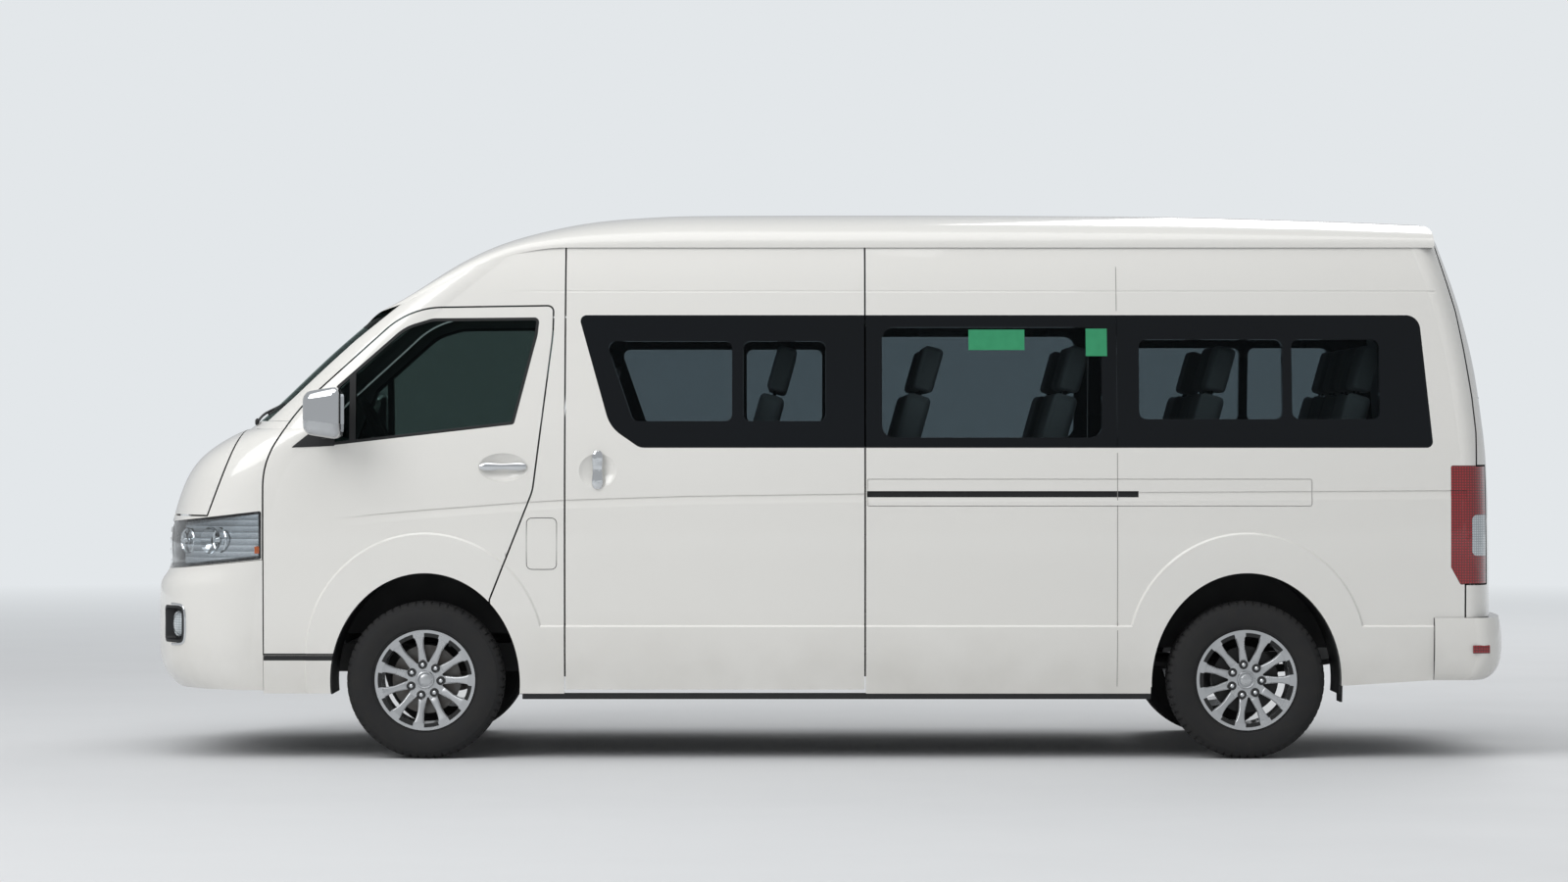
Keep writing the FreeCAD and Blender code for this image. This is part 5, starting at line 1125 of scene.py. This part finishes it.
@dataclass
class Lamps(SubAssembly):
    """Head, fog and tail lamps with what shows through their covers."""

    bowls: tuple[Spot, ...] = ((-2.668, 0.900), (-2.520, 0.905))
    bowl_turn: float = -52.0
    bowl_ring: Profile = ((0.046, -0.002), (0.050, -0.006), (0.054, -0.002), (0.050, 0.004))
    bulb: Profile = ((0.0, -0.026), (0.009, -0.024), (0.015, -0.016), (0.017, -0.006),
                     (0.012, 0.006), (0.010, 0.020))
    marker: Spot = (-2.361, 0.865)
    marker_size: Point = (0.020, 0.006, 0.030)
    bow: Profile = ((-0.772, 0.638), (-0.806, 0.638), (-0.843, 0.632), (-0.851, 0.603),
                    (-0.851, 0.554), (-0.851, 0.505), (-0.843, 0.476), (-0.806, 0.470),
                    (-0.772, 0.470))
    bow_mm: float = 5.5
    fog_lens: Profile = ((0.0, -0.020), (0.020, -0.019), (0.036, -0.014), (0.044, -0.006),
                         (0.050, -0.008), (0.054, -0.004), (0.054, 0.010))
    fog_place: Point = (-2.706, -0.758, 0.554)
    fog_turn: float = -62.0

    def bulbs(self) -> None:
        """Adds a bulb with its shield in each headlamp bowl."""
        pieces = []
        for place, level in self.bowls:
            wide = self.skin(["headlamp_units"], place, level)
            for profile, steps, sunk in ((self.bowl_ring, 40, -2 * MM), (self.bulb, 32, 0.0)):
                pieces.append(put(lathe("bulb_part", profile, steps),
                                  (place, wide + sunk, level), turned(self.bowl_turn)))
        self.both(join_pieces("headlamp_bulbs_left", pieces), BRIGHT_CHROME, "body", "chrome")

    def side_marker(self) -> None:
        """Adds the small orange side marker at the rear end of each headlamp."""
        place, level = self.marker
        wide = self.skin(["headlamps"], place, level) - MM
        piece = put(block("side_marker_left", self.marker_size, round_mm=2.0),
                    (place, wide, level))
        self.both(piece, AMBER_LENS, "body", "lamp")

    def fog(self) -> None:
        """Adds the chrome bow round the outer side of each fog lamp, and the round lens."""
        knots = [(self.front(side, level) - MM, side, level) for side, level in self.bow]
        self.both(tube("fog_bow_left", knots, self.bow_mm), BRIGHT_CHROME, "body", "chrome")
        lens = put(lathe("fog_lens_left", self.fog_lens, steps=48), self.fog_place,
                   turned(self.fog_turn))
        self.both(lens, WHITE_LENS, "body", "lamp")

    def build(self) -> None:
        """Gives the lamps their finishes and fills them."""
        for finish, node in ((CLEAR_LENS, "headlamps"), (BLACK_PRINT, "headlamp_rims"),
                             (RIBBED_REFLECTOR, "headlamp_units"), (BLACK_PLASTIC, "fog_lamps"),
                             (RED_LENS, "tail_lamps"), (WHITE_LENS, "reverse_lamps")):
            self.solids(finish, node)
        self.bulbs()
        self.side_marker()
        self.fog()


@dataclass
class Wheels(SubAssembly):
    """Tyres with tread, wheel nuts and centre caps on the cast rims.

    Turned profiles give radius and place along the axle, with the outer side at -Y.
    """

    steps: int = 240
    tyre_section: Profile = (
        (0.189, 0.0815), (0.2085, 0.0818), (0.2135, 0.0862), (0.218, 0.0868), (0.2215, 0.0905),
        (0.240, 0.0955), (0.262, 0.0975), (0.284, 0.0958), (0.2985, 0.0912), (0.3005, 0.0888),
        (0.3085, 0.0848), (0.3165, 0.0785), (0.3222, 0.0705), (0.3248, 0.0620),
        (0.3256, 0.0530), (0.3257, 0.0455), (0.3185, 0.0445), (0.3185, 0.0375),
        (0.3259, 0.0365), (0.326, 0.0180), (0.3190, 0.0170), (0.3190, 0.0110), (0.326, 0.0100))
    tread_radius: float = 0.310
    shoulder: Spot = (0.047, 0.082)
    rib: Spot = (0.019, 0.036)
    sipe_mm: float = 4.5
    smooth: float = 30.0
    nut_circle: float = 0.064
    flange_radius: float = 0.0088 * 1.15
    nut_count: int = 7
    nut_start: float = math.radians(100.0)
    well: Profile = ((0.0, -0.0030), (0.0150, -0.0030), (0.0172, -0.0042), (0.0186, -0.0036),
                     (0.0190, 0.0006))
    screw: Profile = ((0.0, -0.0030), (0.0030, -0.0030), (0.0038, -0.0048), (0.0070, -0.0050),
                      (0.0088, -0.0034), (0.0092, 0.0))
    cap: Profile = ((0.0, -0.0110), (0.01330, -0.0104), (0.02128, -0.0084), (0.02508, -0.0056),
                    (0.02660, -0.0056), (0.02888, -0.0125), (0.03192, -0.0150),
                    (0.03534, -0.0138), (0.03762, -0.0090), (0.038, -0.0025), (0.038, 0.0))
    valve: Profile = ((0.0, -0.042), (0.0035, -0.0415), (0.0040, -0.039), (0.0040, -0.029),
                      (0.0028, -0.028), (0.0028, -0.022), (0.0058, -0.018), (0.0078, 0.0))
    valve_spot: Spot = (0.176, 0.050)
    valve_turn: float = 0.95
    spokes: int = 11
    spoke_line: Profile = ((0.080, 0.0160), (0.100, 0.0135), (0.125, 0.0115), (0.150, 0.0128),
                           (0.172, 0.0178), (0.187, 0.0245))
    spoke_rise: float = 10.5
    spoke_depth: Point = (0.0, 0.022, 0.0)
    spoke_round_mm: float = 4.5
    # Inner and outer radius, and half angle, of the dark arcs on the rim's lip: painted shade that
    # makes the windows between the spokes look deeper.
    painted_shade_arc: Spot = (0.1795, 0.1955)
    painted_shade_half: float = math.radians(9.3)
    face_out: float = 0.0652
    lip_out: float = 0.0891

    def tyre(self) -> Piece:
        """Makes one tyre about the Y axis with sipes across its shoulders and tread.

        Returns:
            The tyre.
        """
        section = list(self.tyre_section)
        section += [(radius, -along) for radius, along in reversed(section)]
        piece = lathe("tyre_pattern", section, self.steps, self.smooth)
        step = math.tau / self.steps

        def is_sipe(middle: Vector, _: Vector) -> bool:
            """Tells the faces that sink: every fourth, the rib's between the shoulder's.

            Args:
                middle: Middle of the face.
                _: Its normal, which is not needed.

            Returns:
                Whether the face sinks.
            """
            turn = int(round((math.atan2(middle.z, middle.x) / step) - 0.5)) % 4
            wide = abs(middle.y)
            return math.hypot(middle.x, middle.z) > self.tread_radius and (
                (self.shoulder[0] < wide < self.shoulder[1] and turn == 0)
                or (self.rib[0] < wide < self.rib[1] and turn == 2))

        pick(Element.FACE, is_sipe)
        extrude((0.0, 0.0, 0.0))
        bpy.ops.transform.shrink_fatten(value=-self.sipe_mm * MM)
        bpy.ops.object.mode_set(mode="OBJECT")
        bpy.ops.object.shade_smooth_by_angle(angle=math.radians(self.smooth))
        return piece

    def nut(self) -> Piece:
        """Makes one domed wheel nut with its flange, pointing along -Y.

        Returns:
            The nut.
        """
        start_piece("nut_pattern", "cylinder", vertices=12, radius=self.flange_radius,
                    depth=2.5 * MM, rotation=(QUARTER, 0.0, 0.0))
        pick(Element.FACE, lambda middle, normal: normal.y < -0.9)
        bpy.ops.mesh.inset(thickness=1.4 * MM)
        extrude((0.0, -8 * MM, 0.0))
        bpy.ops.mesh.inset(thickness=1.5 * MM, depth=2.0 * MM)
        bpy.ops.mesh.inset(thickness=3.0 * MM, depth=1.8 * MM)
        return close_edit(self.smooth)

    def crown(self) -> Piece:
        """Makes the rounded outer side of one spoke, along X and rising to the rim's lip.

        Returns:
            The spoke's crown.
        """
        root = self.spoke_line[0][0]
        outline = [(along - root, 0.0, -half) for along, half in self.spoke_line]
        outline += [(along, 0.0, -low) for along, _, low in reversed(outline)]
        crown = plate("crown_pattern", outline, self.spoke_depth, self.spoke_round_mm)
        return put(crown, (root, -0.5 * MM, 0.0), turned(-self.spoke_rise))

    def painted_shade_plate(self) -> Piece:
        """Makes one dark arc of painted shade between two spokes, on the face of the rim's lip.

        Returns:
            The arc of painted shade.
        """
        inner, outer = self.painted_shade_arc
        angles = [self.painted_shade_half * (step / 4 - 1.0) for step in range(9)]
        outline = [(radius * math.cos(angle), 0.0, radius * math.sin(angle))
                   for radius, row in ((outer, angles), (inner, angles[::-1])) for angle in row]
        return plate("painted_shade_pattern", outline, (0.0, -0.6 * MM, 0.0))

    def wheel(self, corner: Corner, patterns: dict[str, Piece]) -> None:
        """Puts the pattern pieces on one wheel.

        Args:
            corner: The wheel.
            patterns: The pattern pieces by name.
        """
        place = corner.value
        body = f"wheel_{place}"
        low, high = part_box(f"rim_{place}")
        centre = (low + high) / 2
        outward = corner.outward

        def at(along: float, out: float, up: float) -> Matrix:
            """Gives a place from the wheel's centre, turned to its outer side."""
            return Matrix.Translation(centre + Vector((along, outward * out, up))) @ (
                Matrix.Diagonal((1.0, -outward, 1.0, 1.0)))

        self.solids(SILVER_ALLOY, f"rim_{place}")
        tyre = copy_piece(patterns["tyre"], f"tread_{place}", Matrix.Translation(centre))
        self.fit(tyre, TYRE_RUBBER, body, "tyre", [f"tyre_{place}"])
        face, lip = at(0.0, self.face_out, 0.0), at(0.0, self.lip_out, 0.0)
        cap = copy_piece(patterns["cap"], f"centre_cap_{place}", face)
        self.fit(cap, SILVER_ALLOY, body, "rim")
        radius, out = self.valve_spot
        valve = copy_piece(patterns["valve"], f"tyre_valve_{place}",
                           at(radius * math.cos(self.valve_turn), out,
                              radius * math.sin(self.valve_turn)))
        self.fit(valve, GASKET_RUBBER, body, "tyre")
        nuts = [self.nut_start + math.tau * index / self.nut_count
                for index in range(self.nut_count)]
        arms, gaps = ([math.tau * (index + half) / self.spokes for index in range(self.spokes)]
                      for half in (0.0, 0.5))
        # The arcs in the gaps between spokes are painted shade: dark matt plates that stand for the
        # shade inside the windows.
        for part, angles, spot, finish in (
                ("nut_out", nuts, face, BRIGHT_CHROME), ("well_out", nuts, face, BLACK_LACQUER),
                ("screw_out", [self.nut_start + math.pi], face, SILVER_ALLOY),
                ("crown", arms, face, SILVER_ALLOY), ("painted_shade_arc", gaps, lip, GASKET_RUBBER)):
            copies = [copy_piece(patterns[part], f"{part}_copy",
                                 spot @ Matrix.Rotation(-angle, 4, "Y")) for angle in angles]
            self.fit(join_pieces(f"wheel_{part}s_{place}", copies), finish, body, "rim")

    def build(self) -> None:
        """Makes one set of wheel pieces and copies it to the four wheels."""
        out = (self.nut_circle, 0.0, 0.0)
        patterns = {"tyre": self.tyre(), "nut_out": put(self.nut(), out),
                    "well_out": put(lathe("well_pattern", self.well, steps=32), out),
                    "screw_out": put(lathe("screw_pattern", self.screw, steps=24), out),
                    "cap": lathe("cap_pattern", self.cap, steps=64),
                    "valve": lathe("valve_pattern", self.valve, steps=20),
                    "crown": self.crown(), "painted_shade_arc": self.painted_shade_plate()}
        for corner in Corner:
            self.wheel(corner, patterns)
        for pattern in patterns.values():
            drop_piece(pattern)


@dataclass
class Cabin(SubAssembly):
    """Dashboard, steering wheel, floor and padded seats."""

    seat_width: float = 0.396
    cushion: Point = (0.43, 0.384, 0.12)
    backrest: Point = (0.104, 0.376, 0.50)
    headrest: Point = (0.085, 0.25, 0.19)
    cushion_place: Point = (0.225, 0.0, -0.062)
    cushion_seams: Spot = (-0.25, 0.25)
    back_seams: Spot = (-0.22, 0.22)
    back_place: Spot = (0.052, 0.24)
    head_place: Spot = (0.058, 0.605)
    pad_round: float = 0.28
    seam_mm: float = 5.0
    seam_depth_mm: float = 7.0
    hinge: Point = (0.44, 0.0, 0.0)
    lean: float = math.atan(0.195 / 0.69)
    rows: int = 5
    row_first: float = -0.85
    row_pitch: float = 0.612
    outer: float = 0.600
    pitch: float = 0.398
    sit_level: float = 1.05
    cab_row: float = -1.64
    cab_sit_level: float = 0.99
    cab_middles: Point = (-0.43, 0.198, 0.596)
    leg_inset: float = 0.075
    leg_lines: tuple[tuple[float, ...], ...] = ((0.06, 0.055, 0.05, 0.05),
                                                (0.37, 0.375, 0.38, 0.38))
    leg_levels: tuple[float, ...] = (-0.128, -0.22, -0.40, -0.442)
    leg_mm: float = 13.0
    floor_rail: Point = (0.03, 0.2, 0.41)
    floor_rail_level: float = -0.437
    floor_rail_mm: float = 9.0
    post_line: Profile = ((0.050, 0.44), (0.053, 0.50), (0.056, 0.56))
    post_side: float = 0.06
    post_mm: float = 5.0
    pan: Point = (0.40, 0.336, 0.014)
    pan_place: Point = (0.225, 0.0, -0.127)
    leg_places: Spot = (0.05, 0.38)
    leg_start: float = 0.135
    leg_end: float = 0.447
    dash_drop: float = 0.075
    dial: Profile = ((0.0, -0.004), (0.044, -0.004), (0.048, -0.010), (0.052, -0.010),
                     (0.054, 0.0))
    dials: Spot = (-0.50, -0.36)
    vents: tuple[float, ...] = (-0.72, -0.15, 0.15, 0.72)
    slat: Point = (0.012, 0.085, 0.004)
    slat_pitch: float = 0.014
    slat_drop: float = 0.03
    slat_count: int = 5
    screen: Point = (0.010, 0.20, 0.11)
    rails: tuple[Spot, ...] = ((-1.10, -0.36), (-1.10, 0.42))
    rail_levels: Point = (0.62, 0.9, 1.45)
    rail_mm: float = 13.0

    def pad(self, name: str, size: Point, channels: Sequence[float]) -> Piece:
        """Makes one crowned pad with sewn channels across its width.

        Args:
            name: Name of the pad.
            size: Length along X, width and height.
            channels: Shares of the width where a seam runs, from -0.5 to 0.5.

        Returns:
            The pad, its middle at the origin.
        """
        start_piece(name, "cube", size=1.0, scale=size)
        edit_all()
        bpy.ops.mesh.bevel(offset=min(size) * self.pad_round, segments=3, profile=0.6)
        for share in channels:
            bpy.ops.mesh.select_all(action="SELECT")
            bpy.ops.mesh.bisect(plane_co=(0.0, share * size[1], 0.0), plane_no=ACROSS)
            bpy.ops.mesh.bevel(offset=self.seam_mm * MM, segments=2, affect="EDGES")
            bpy.ops.transform.shrink_fatten(value=-self.seam_depth_mm * MM)
        return close_edit(60.0)

    def on_back(self, piece: Piece, along: float, up: float) -> Piece:
        """Puts a piece on the leaning back.

        Args:
            piece: The piece.
            along: Place of its origin along X, before the lean.
            up: Height of its origin over the hinge, before the lean.

        Returns:
            The same piece.
        """
        tilt = Matrix.Rotation(self.lean, 4, "Y") @ Matrix.Translation((along, 0.0, up))
        return put(piece, self.hinge, tilt)

    def seat(self) -> Piece:
        """Makes one seat with cushion, backrest and head restraint, front edge at the origin.

        Returns:
            The seat.
        """
        cushion = put(self.pad("cushion", self.cushion, self.cushion_seams), self.cushion_place)
        back = self.on_back(self.pad("backrest", self.backrest, self.back_seams),
                            *self.back_place)
        head = self.on_back(self.pad("head_restraint", self.headrest, ()), *self.head_place)
        return join_pieces("seat_pattern", [cushion, back, head])

    def stand(self) -> Piece:
        """Makes one seat's frame: two legs, floor rails, seat pan and head restraint posts.

        Returns:
            The frame.
        """
        pieces = []
        for side in (-1.0, 1.0):
            y = side * (self.seat_width / 2 - self.leg_inset)
            for line in self.leg_lines:
                knots = [(x, y, z) for x, z in zip(line, self.leg_levels)]
                pieces.append(tube("seat_leg", knots, self.leg_mm))
            knots = [(x, y, self.floor_rail_level) for x in self.floor_rail]
            pieces.append(tube("seat_rail", knots, self.floor_rail_mm))
            knots = [(x, side * self.post_side, z) for x, z in self.post_line]
            pieces.append(self.on_back(tube("head_post", knots, self.post_mm), 0.0, 0.0))
        pan = block("seat_pan", self.pan, round_mm=4.0, segments=2)
        pieces.append(put(pan, self.pan_place))
        return join_pieces("seat_frame_pattern", pieces)

    def stand_at(self, stand: Piece, name: str, edge: float, middle: float,
                 level: float) -> Piece:
        """Copies the seat frame to a place, with legs that end on what lies under it.

        Args:
            stand: The frame pattern.
            name: Name of the copy.
            edge: Front edge of the seat along X.
            middle: Middle of the seat along Y.
            level: Sitting level.

        Returns:
            The fitted frame.
        """
        spots = [self.meet(["floor", "wheel_liners"],
                           (edge + along, middle + side * (self.seat_width / 2 - self.leg_inset),
                            level - self.leg_start - 0.01), (0.0, 0.0, -1.0))
                 for along in self.leg_places for side in (-1.0, 1.0)]
        drop = level - max(spot.z for spot in spots if spot)
        share = (drop - self.leg_start) / (self.leg_end - self.leg_start)
        piece = copy_piece(stand, name, Matrix.Identity(4))
        for vert in piece.data.vertices:
            if vert.co.z < -self.leg_start:
                vert.co.z = -self.leg_start + (vert.co.z + self.leg_start) * share
        return put(piece, (edge, middle, level))

    def places(self) -> list[tuple[str, str, float, float, float]]:
        """Lists the seats.

        Returns:
            Name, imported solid, front edge, middle and sitting level of each seat.
        """
        found = []
        for row in range(self.rows):
            middles = [-self.outer, -self.outer + self.pitch, self.outer]
            if row == self.rows - 1:
                middles.append(self.outer - self.pitch)
            for index, middle in enumerate(middles):
                found.append((f"seat_row{row + 1}_{index + 1}",
                              "seats_left" if middle < 0 else "seats_right",
                              self.row_first + self.row_pitch * row, middle, self.sit_level))
        for name, middle in zip(("seat_driver", "seat_cab_1", "seat_cab_2"), self.cab_middles):
            found.append((name, "cab_seats", self.cab_row, middle, self.cab_sit_level))
        return found

    def dash(self) -> None:
        """Adds the dashboard's dials, screen and air vents."""
        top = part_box("dashboard")[1]
        level = top.z - self.dash_drop

        def on_dash(piece: Piece, side: float, rise: float, lift: float,
                    turn: float = 0.0) -> Piece:
            """Puts a piece on the dashboard's rear face."""
            face = self.meet(["dashboard"], (top.x + OUTSIDE, side, rise), (-1.0, 0.0, 0.0)).x
            return put(piece, (face + lift, side, rise), turned(turn))

        screen = on_dash(block("dash_screen", self.screen, round_mm=4.0), 0.0, level, MM)
        self.fit(screen, BLACK_PRINT, "body", "black_gloss")
        dials = [on_dash(lathe("dial", self.dial, steps=48), side, level, MM, 90.0)
                 for side in self.dials]
        self.fit(join_pieces("dash_dials", dials), BLACK_LACQUER, "body", "black_gloss")
        slats = [on_dash(block("slat", self.slat, round_mm=1.2, segments=2), side,
                         level - self.slat_drop + row * self.slat_pitch, 3 * MM)
                 for side in self.vents for row in range(self.slat_count)]
        self.fit(join_pieces("dash_vents", slats), BLACK_PLASTIC, "body", "black_plastic")

    def build(self) -> None:
        """Dresses the cabin and copies the padded seat to every place."""
        self.solids(GREY_PLASTIC, "dashboard")
        self.solids(BLACK_PLASTIC, "steering_wheel")
        self.solids(FLOOR_VINYL, "floor")
        self.dash()
        pattern, stand = self.seat(), self.stand()
        stands = []
        for name, node, edge, middle, level in self.places():
            piece = copy_piece(pattern, name, Matrix.Translation((edge, middle, level)))
            self.fit(piece, SEAT_CLOTH, "body", "fabric", [node])
            stands.append(self.stand_at(stand, f"{name}_frame", edge, middle, level))
        self.fit(join_pieces("seat_frames", stands), BLACK_PLASTIC, "body", "black_plastic")
        rails = [tube("grab_rail", [(edge, side, level) for level in self.rail_levels],
                      self.rail_mm) for edge, side in self.rails]
        self.fit(join_pieces("grab_rails", rails), BRIGHT_CHROME, "body", "chrome")
        drop_piece(pattern)
        drop_piece(stand)


@dataclass
class Underbody(SubAssembly):
    """Frame, axles, engine, tank and exhaust."""

    def build(self) -> None:
        """Gives the parts under the floor their finishes."""
        self.solids(CHASSIS_BLACK, "underframe", "rear_axle", "engine", "exhaust", "fuel_tank")
        self.solids(CAST_IRON, "knuckle_left", "knuckle_right")


@dataclass
class Mirrors(SubAssembly):
    """Outside mirrors: chrome shell, grey lower shell, black foot and glass."""

    middle: Point = (-2.072, -1.082, 1.430)
    size: Point = (0.158, 0.210, 0.222)
    front_share: Point = (1.0, 0.74, 0.78)
    rounding: float = 0.036
    split: float = -0.036
    split_slope: Point = (0.12, 0.0, 1.0)
    glass: Point = (0.005, 0.170, 0.182)
    glass_round: float = 0.026
    glass_sunk: float = 0.010
    foot: Profile = ((-2.222, 1.288), (-2.040, 1.296), (-2.040, 1.412), (-2.062, 1.415))
    foot_sunk: float = 0.004
    foot_depth: Point = (0.0, -0.036, 0.0)
    foot_round_mm: float = 6.0
    arm_mm: float = 19.0

    def housing(self) -> Piece:
        """Makes the housing: a rounded box that narrows to the front, hollowed at the rear.

        Returns:
            The housing, its middle at the origin.
        """
        start_piece("mirror_shell_pattern", "cube", size=1.0, scale=self.size)
        pick(Element.FACE, lambda middle, normal: normal.x < -0.9)
        bpy.ops.transform.resize(value=self.front_share)
        bpy.ops.mesh.select_all(action="SELECT")
        bpy.ops.mesh.bevel(offset=self.rounding, segments=6, profile=0.5)
        bpy.ops.object.mode_set(mode="OBJECT")
        pick(Element.FACE, lambda middle, normal: normal.x > 0.99)
        bpy.ops.mesh.inset(thickness=0.006)
        extrude((-0.016, 0.0, 0.0))
        return close_edit(50.0)

    def part(self, source: Piece, name: str, keep_top: bool, scale: float) -> Piece:
        """Cuts a copy of the housing at the split and keeps one side.

        Args:
            source: The housing.
            name: Name of the cut part.
            keep_top: Whether the upper side stays.
            scale: Size against the housing.

        Returns:
            The part in its place.
        """
        piece = join_pieces(name, [copy_piece(source, name, Matrix.Scale(scale, 4))])
        edit_all()
        bpy.ops.mesh.bisect(plane_co=(0.0, 0.0, self.split), plane_no=self.split_slope,
                            use_fill=True, clear_inner=keep_top, clear_outer=not keep_top)
        close_edit(50.0)
        return put(piece, self.middle)

    def build(self) -> None:
        """Makes the left mirror and copies it to the right."""
        shell = self.housing()
        upper = self.part(shell, "mirror_cover_left", True, 1.0)
        lower = self.part(shell, "mirror_base_left", False, 0.985)
        self.both(upper, BRIGHT_CHROME, "door_left", "chrome", ["mirror_left"])
        self.both(lower, SILVER_ALLOY, "door_left", "chrome", ["mirror_left"])
        drop_piece(shell)
        x, y, z = self.middle
        start_piece("mirror_glass_left", "cube", size=1.0, scale=self.glass)
        pick(Element.EDGE, lambda middle, way: abs(way.x) > 0.9)
        bpy.ops.mesh.bevel(offset=self.glass_round, segments=5)
        glass = put(close_edit(40.0), (x + self.size[0] / 2 - self.glass_sunk, y, z))
        self.both(glass, MIRROR_SILVER, "door_left", "chrome")
        skin = max(self.skin(["door_left", "door_seal_left"], *spot) for spot in self.foot)
        outline = [(place, skin + self.foot_sunk, level) for place, level in self.foot]
        foot = plate("mirror_foot_left", outline, self.foot_depth, self.foot_round_mm)
        arm = tube("mirror_arm_left", [
            (x - 0.01, skin, z - 0.075), (x - 0.01, skin - 0.04, z - 0.082),
            (x - 0.005, y + 0.09, z - 0.088), (x, y + 0.02, z - 0.085)], self.arm_mm)
        self.both(join_pieces("mirror_foot_left", [foot, arm]), BLACK_PLASTIC, "door_left",
                  "black_plastic")


@dataclass
class Studio:
    """Pale floor, soft lights and the camera of the photograph."""

    camera_place: Point = (-0.182, -18.94, 1.316)
    lens_mm: float = 100.0
    sensor_mm: float = 36.0
    sight: float = 300.0
    floor_side: float = 160.0
    # Name, place, point that it faces, side of its square and power of each light.
    lights: tuple[tuple[str, Point, Point, float, float], ...] = (
        ("soft_sky", (-2.0, -4.0, 12.0), (0.0, 0.0, 0.8), 12.0, 620.0),
        ("soft_side", (-9.0, -10.0, 9.0), (0.0, 0.0, 1.0), 8.0, 780.0),
        ("soft_rear", (6.0, 12.0, 9.0), (0.0, 0.0, 1.2), 9.0, 500.0),
    )
    sky: str = "#E4E7EA"
    sky_strength: float = 0.62

    def camera(self) -> None:
        """Sets the camera where the photograph was taken from."""
        data = bpy.data.cameras.new("photograph")
        data.lens = self.lens_mm
        data.sensor_width = self.sensor_mm
        data.clip_end = self.sight
        holder = bpy.data.objects.new("photograph", data)
        holder.location = self.camera_place
        holder.rotation_euler = (QUARTER, 0.0, 0.0)
        bpy.context.collection.objects.link(holder)
        bpy.context.scene.camera = holder

    def floor(self) -> None:
        """Lays the floor, which far away takes the colour of the surroundings."""
        piece = start_piece("studio_floor", "plane", size=self.floor_side)
        piece.data.materials.append(PALE_FLOOR.material())

    def world(self) -> None:
        """Fills the surroundings with an even pale light."""
        world = bpy.data.worlds.new("studio")
        world.use_nodes = True
        tree = world.node_tree
        tree.nodes.clear()
        dim = add(tree, "Background", (self.sky, self.sky_strength))
        seen = add(tree, "Background", (PALE_FLOOR.surround, 1.0))
        rays = add(tree, "LightPath", output="Is Camera Ray")
        add(tree, "OutputWorld", {"Surface": add(tree, "MixShader", (rays, dim, seen))})
        bpy.context.scene.world = world

    def lamps(self) -> None:
        """Hangs the square soft lights."""
        for name, place, aim, size, watts in self.lights:
            lamp = bpy.data.lights.new(name, "AREA")
            lamp.shape = "SQUARE"
            lamp.size = size
            lamp.energy = watts
            holder = bpy.data.objects.new(name, lamp)
            holder.location = place
            away = Vector(aim) - Vector(place)
            holder.rotation_euler = away.to_track_quat("-Z", "Y").to_euler()
            bpy.context.collection.objects.link(holder)

    def build(self) -> None:
        """Sets up the floor, the lights, the surroundings and the camera."""
        self.camera()
        self.floor()
        self.world()
        self.lamps()
        bpy.context.scene.view_settings.view_transform = "Standard"


def main() -> None:
    """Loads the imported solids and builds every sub-assembly."""
    logging.basicConfig(level=logging.INFO, format="%(name)s: %(message)s")
    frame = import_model()
    for kind in (BodyShell, Glazing, Lamps, Wheels, Cabin, Underbody, Mirrors):
        part = kind(frame)
        part.build()
        part.report()
    Studio().build()


if __name__ == "__main__":
    main()
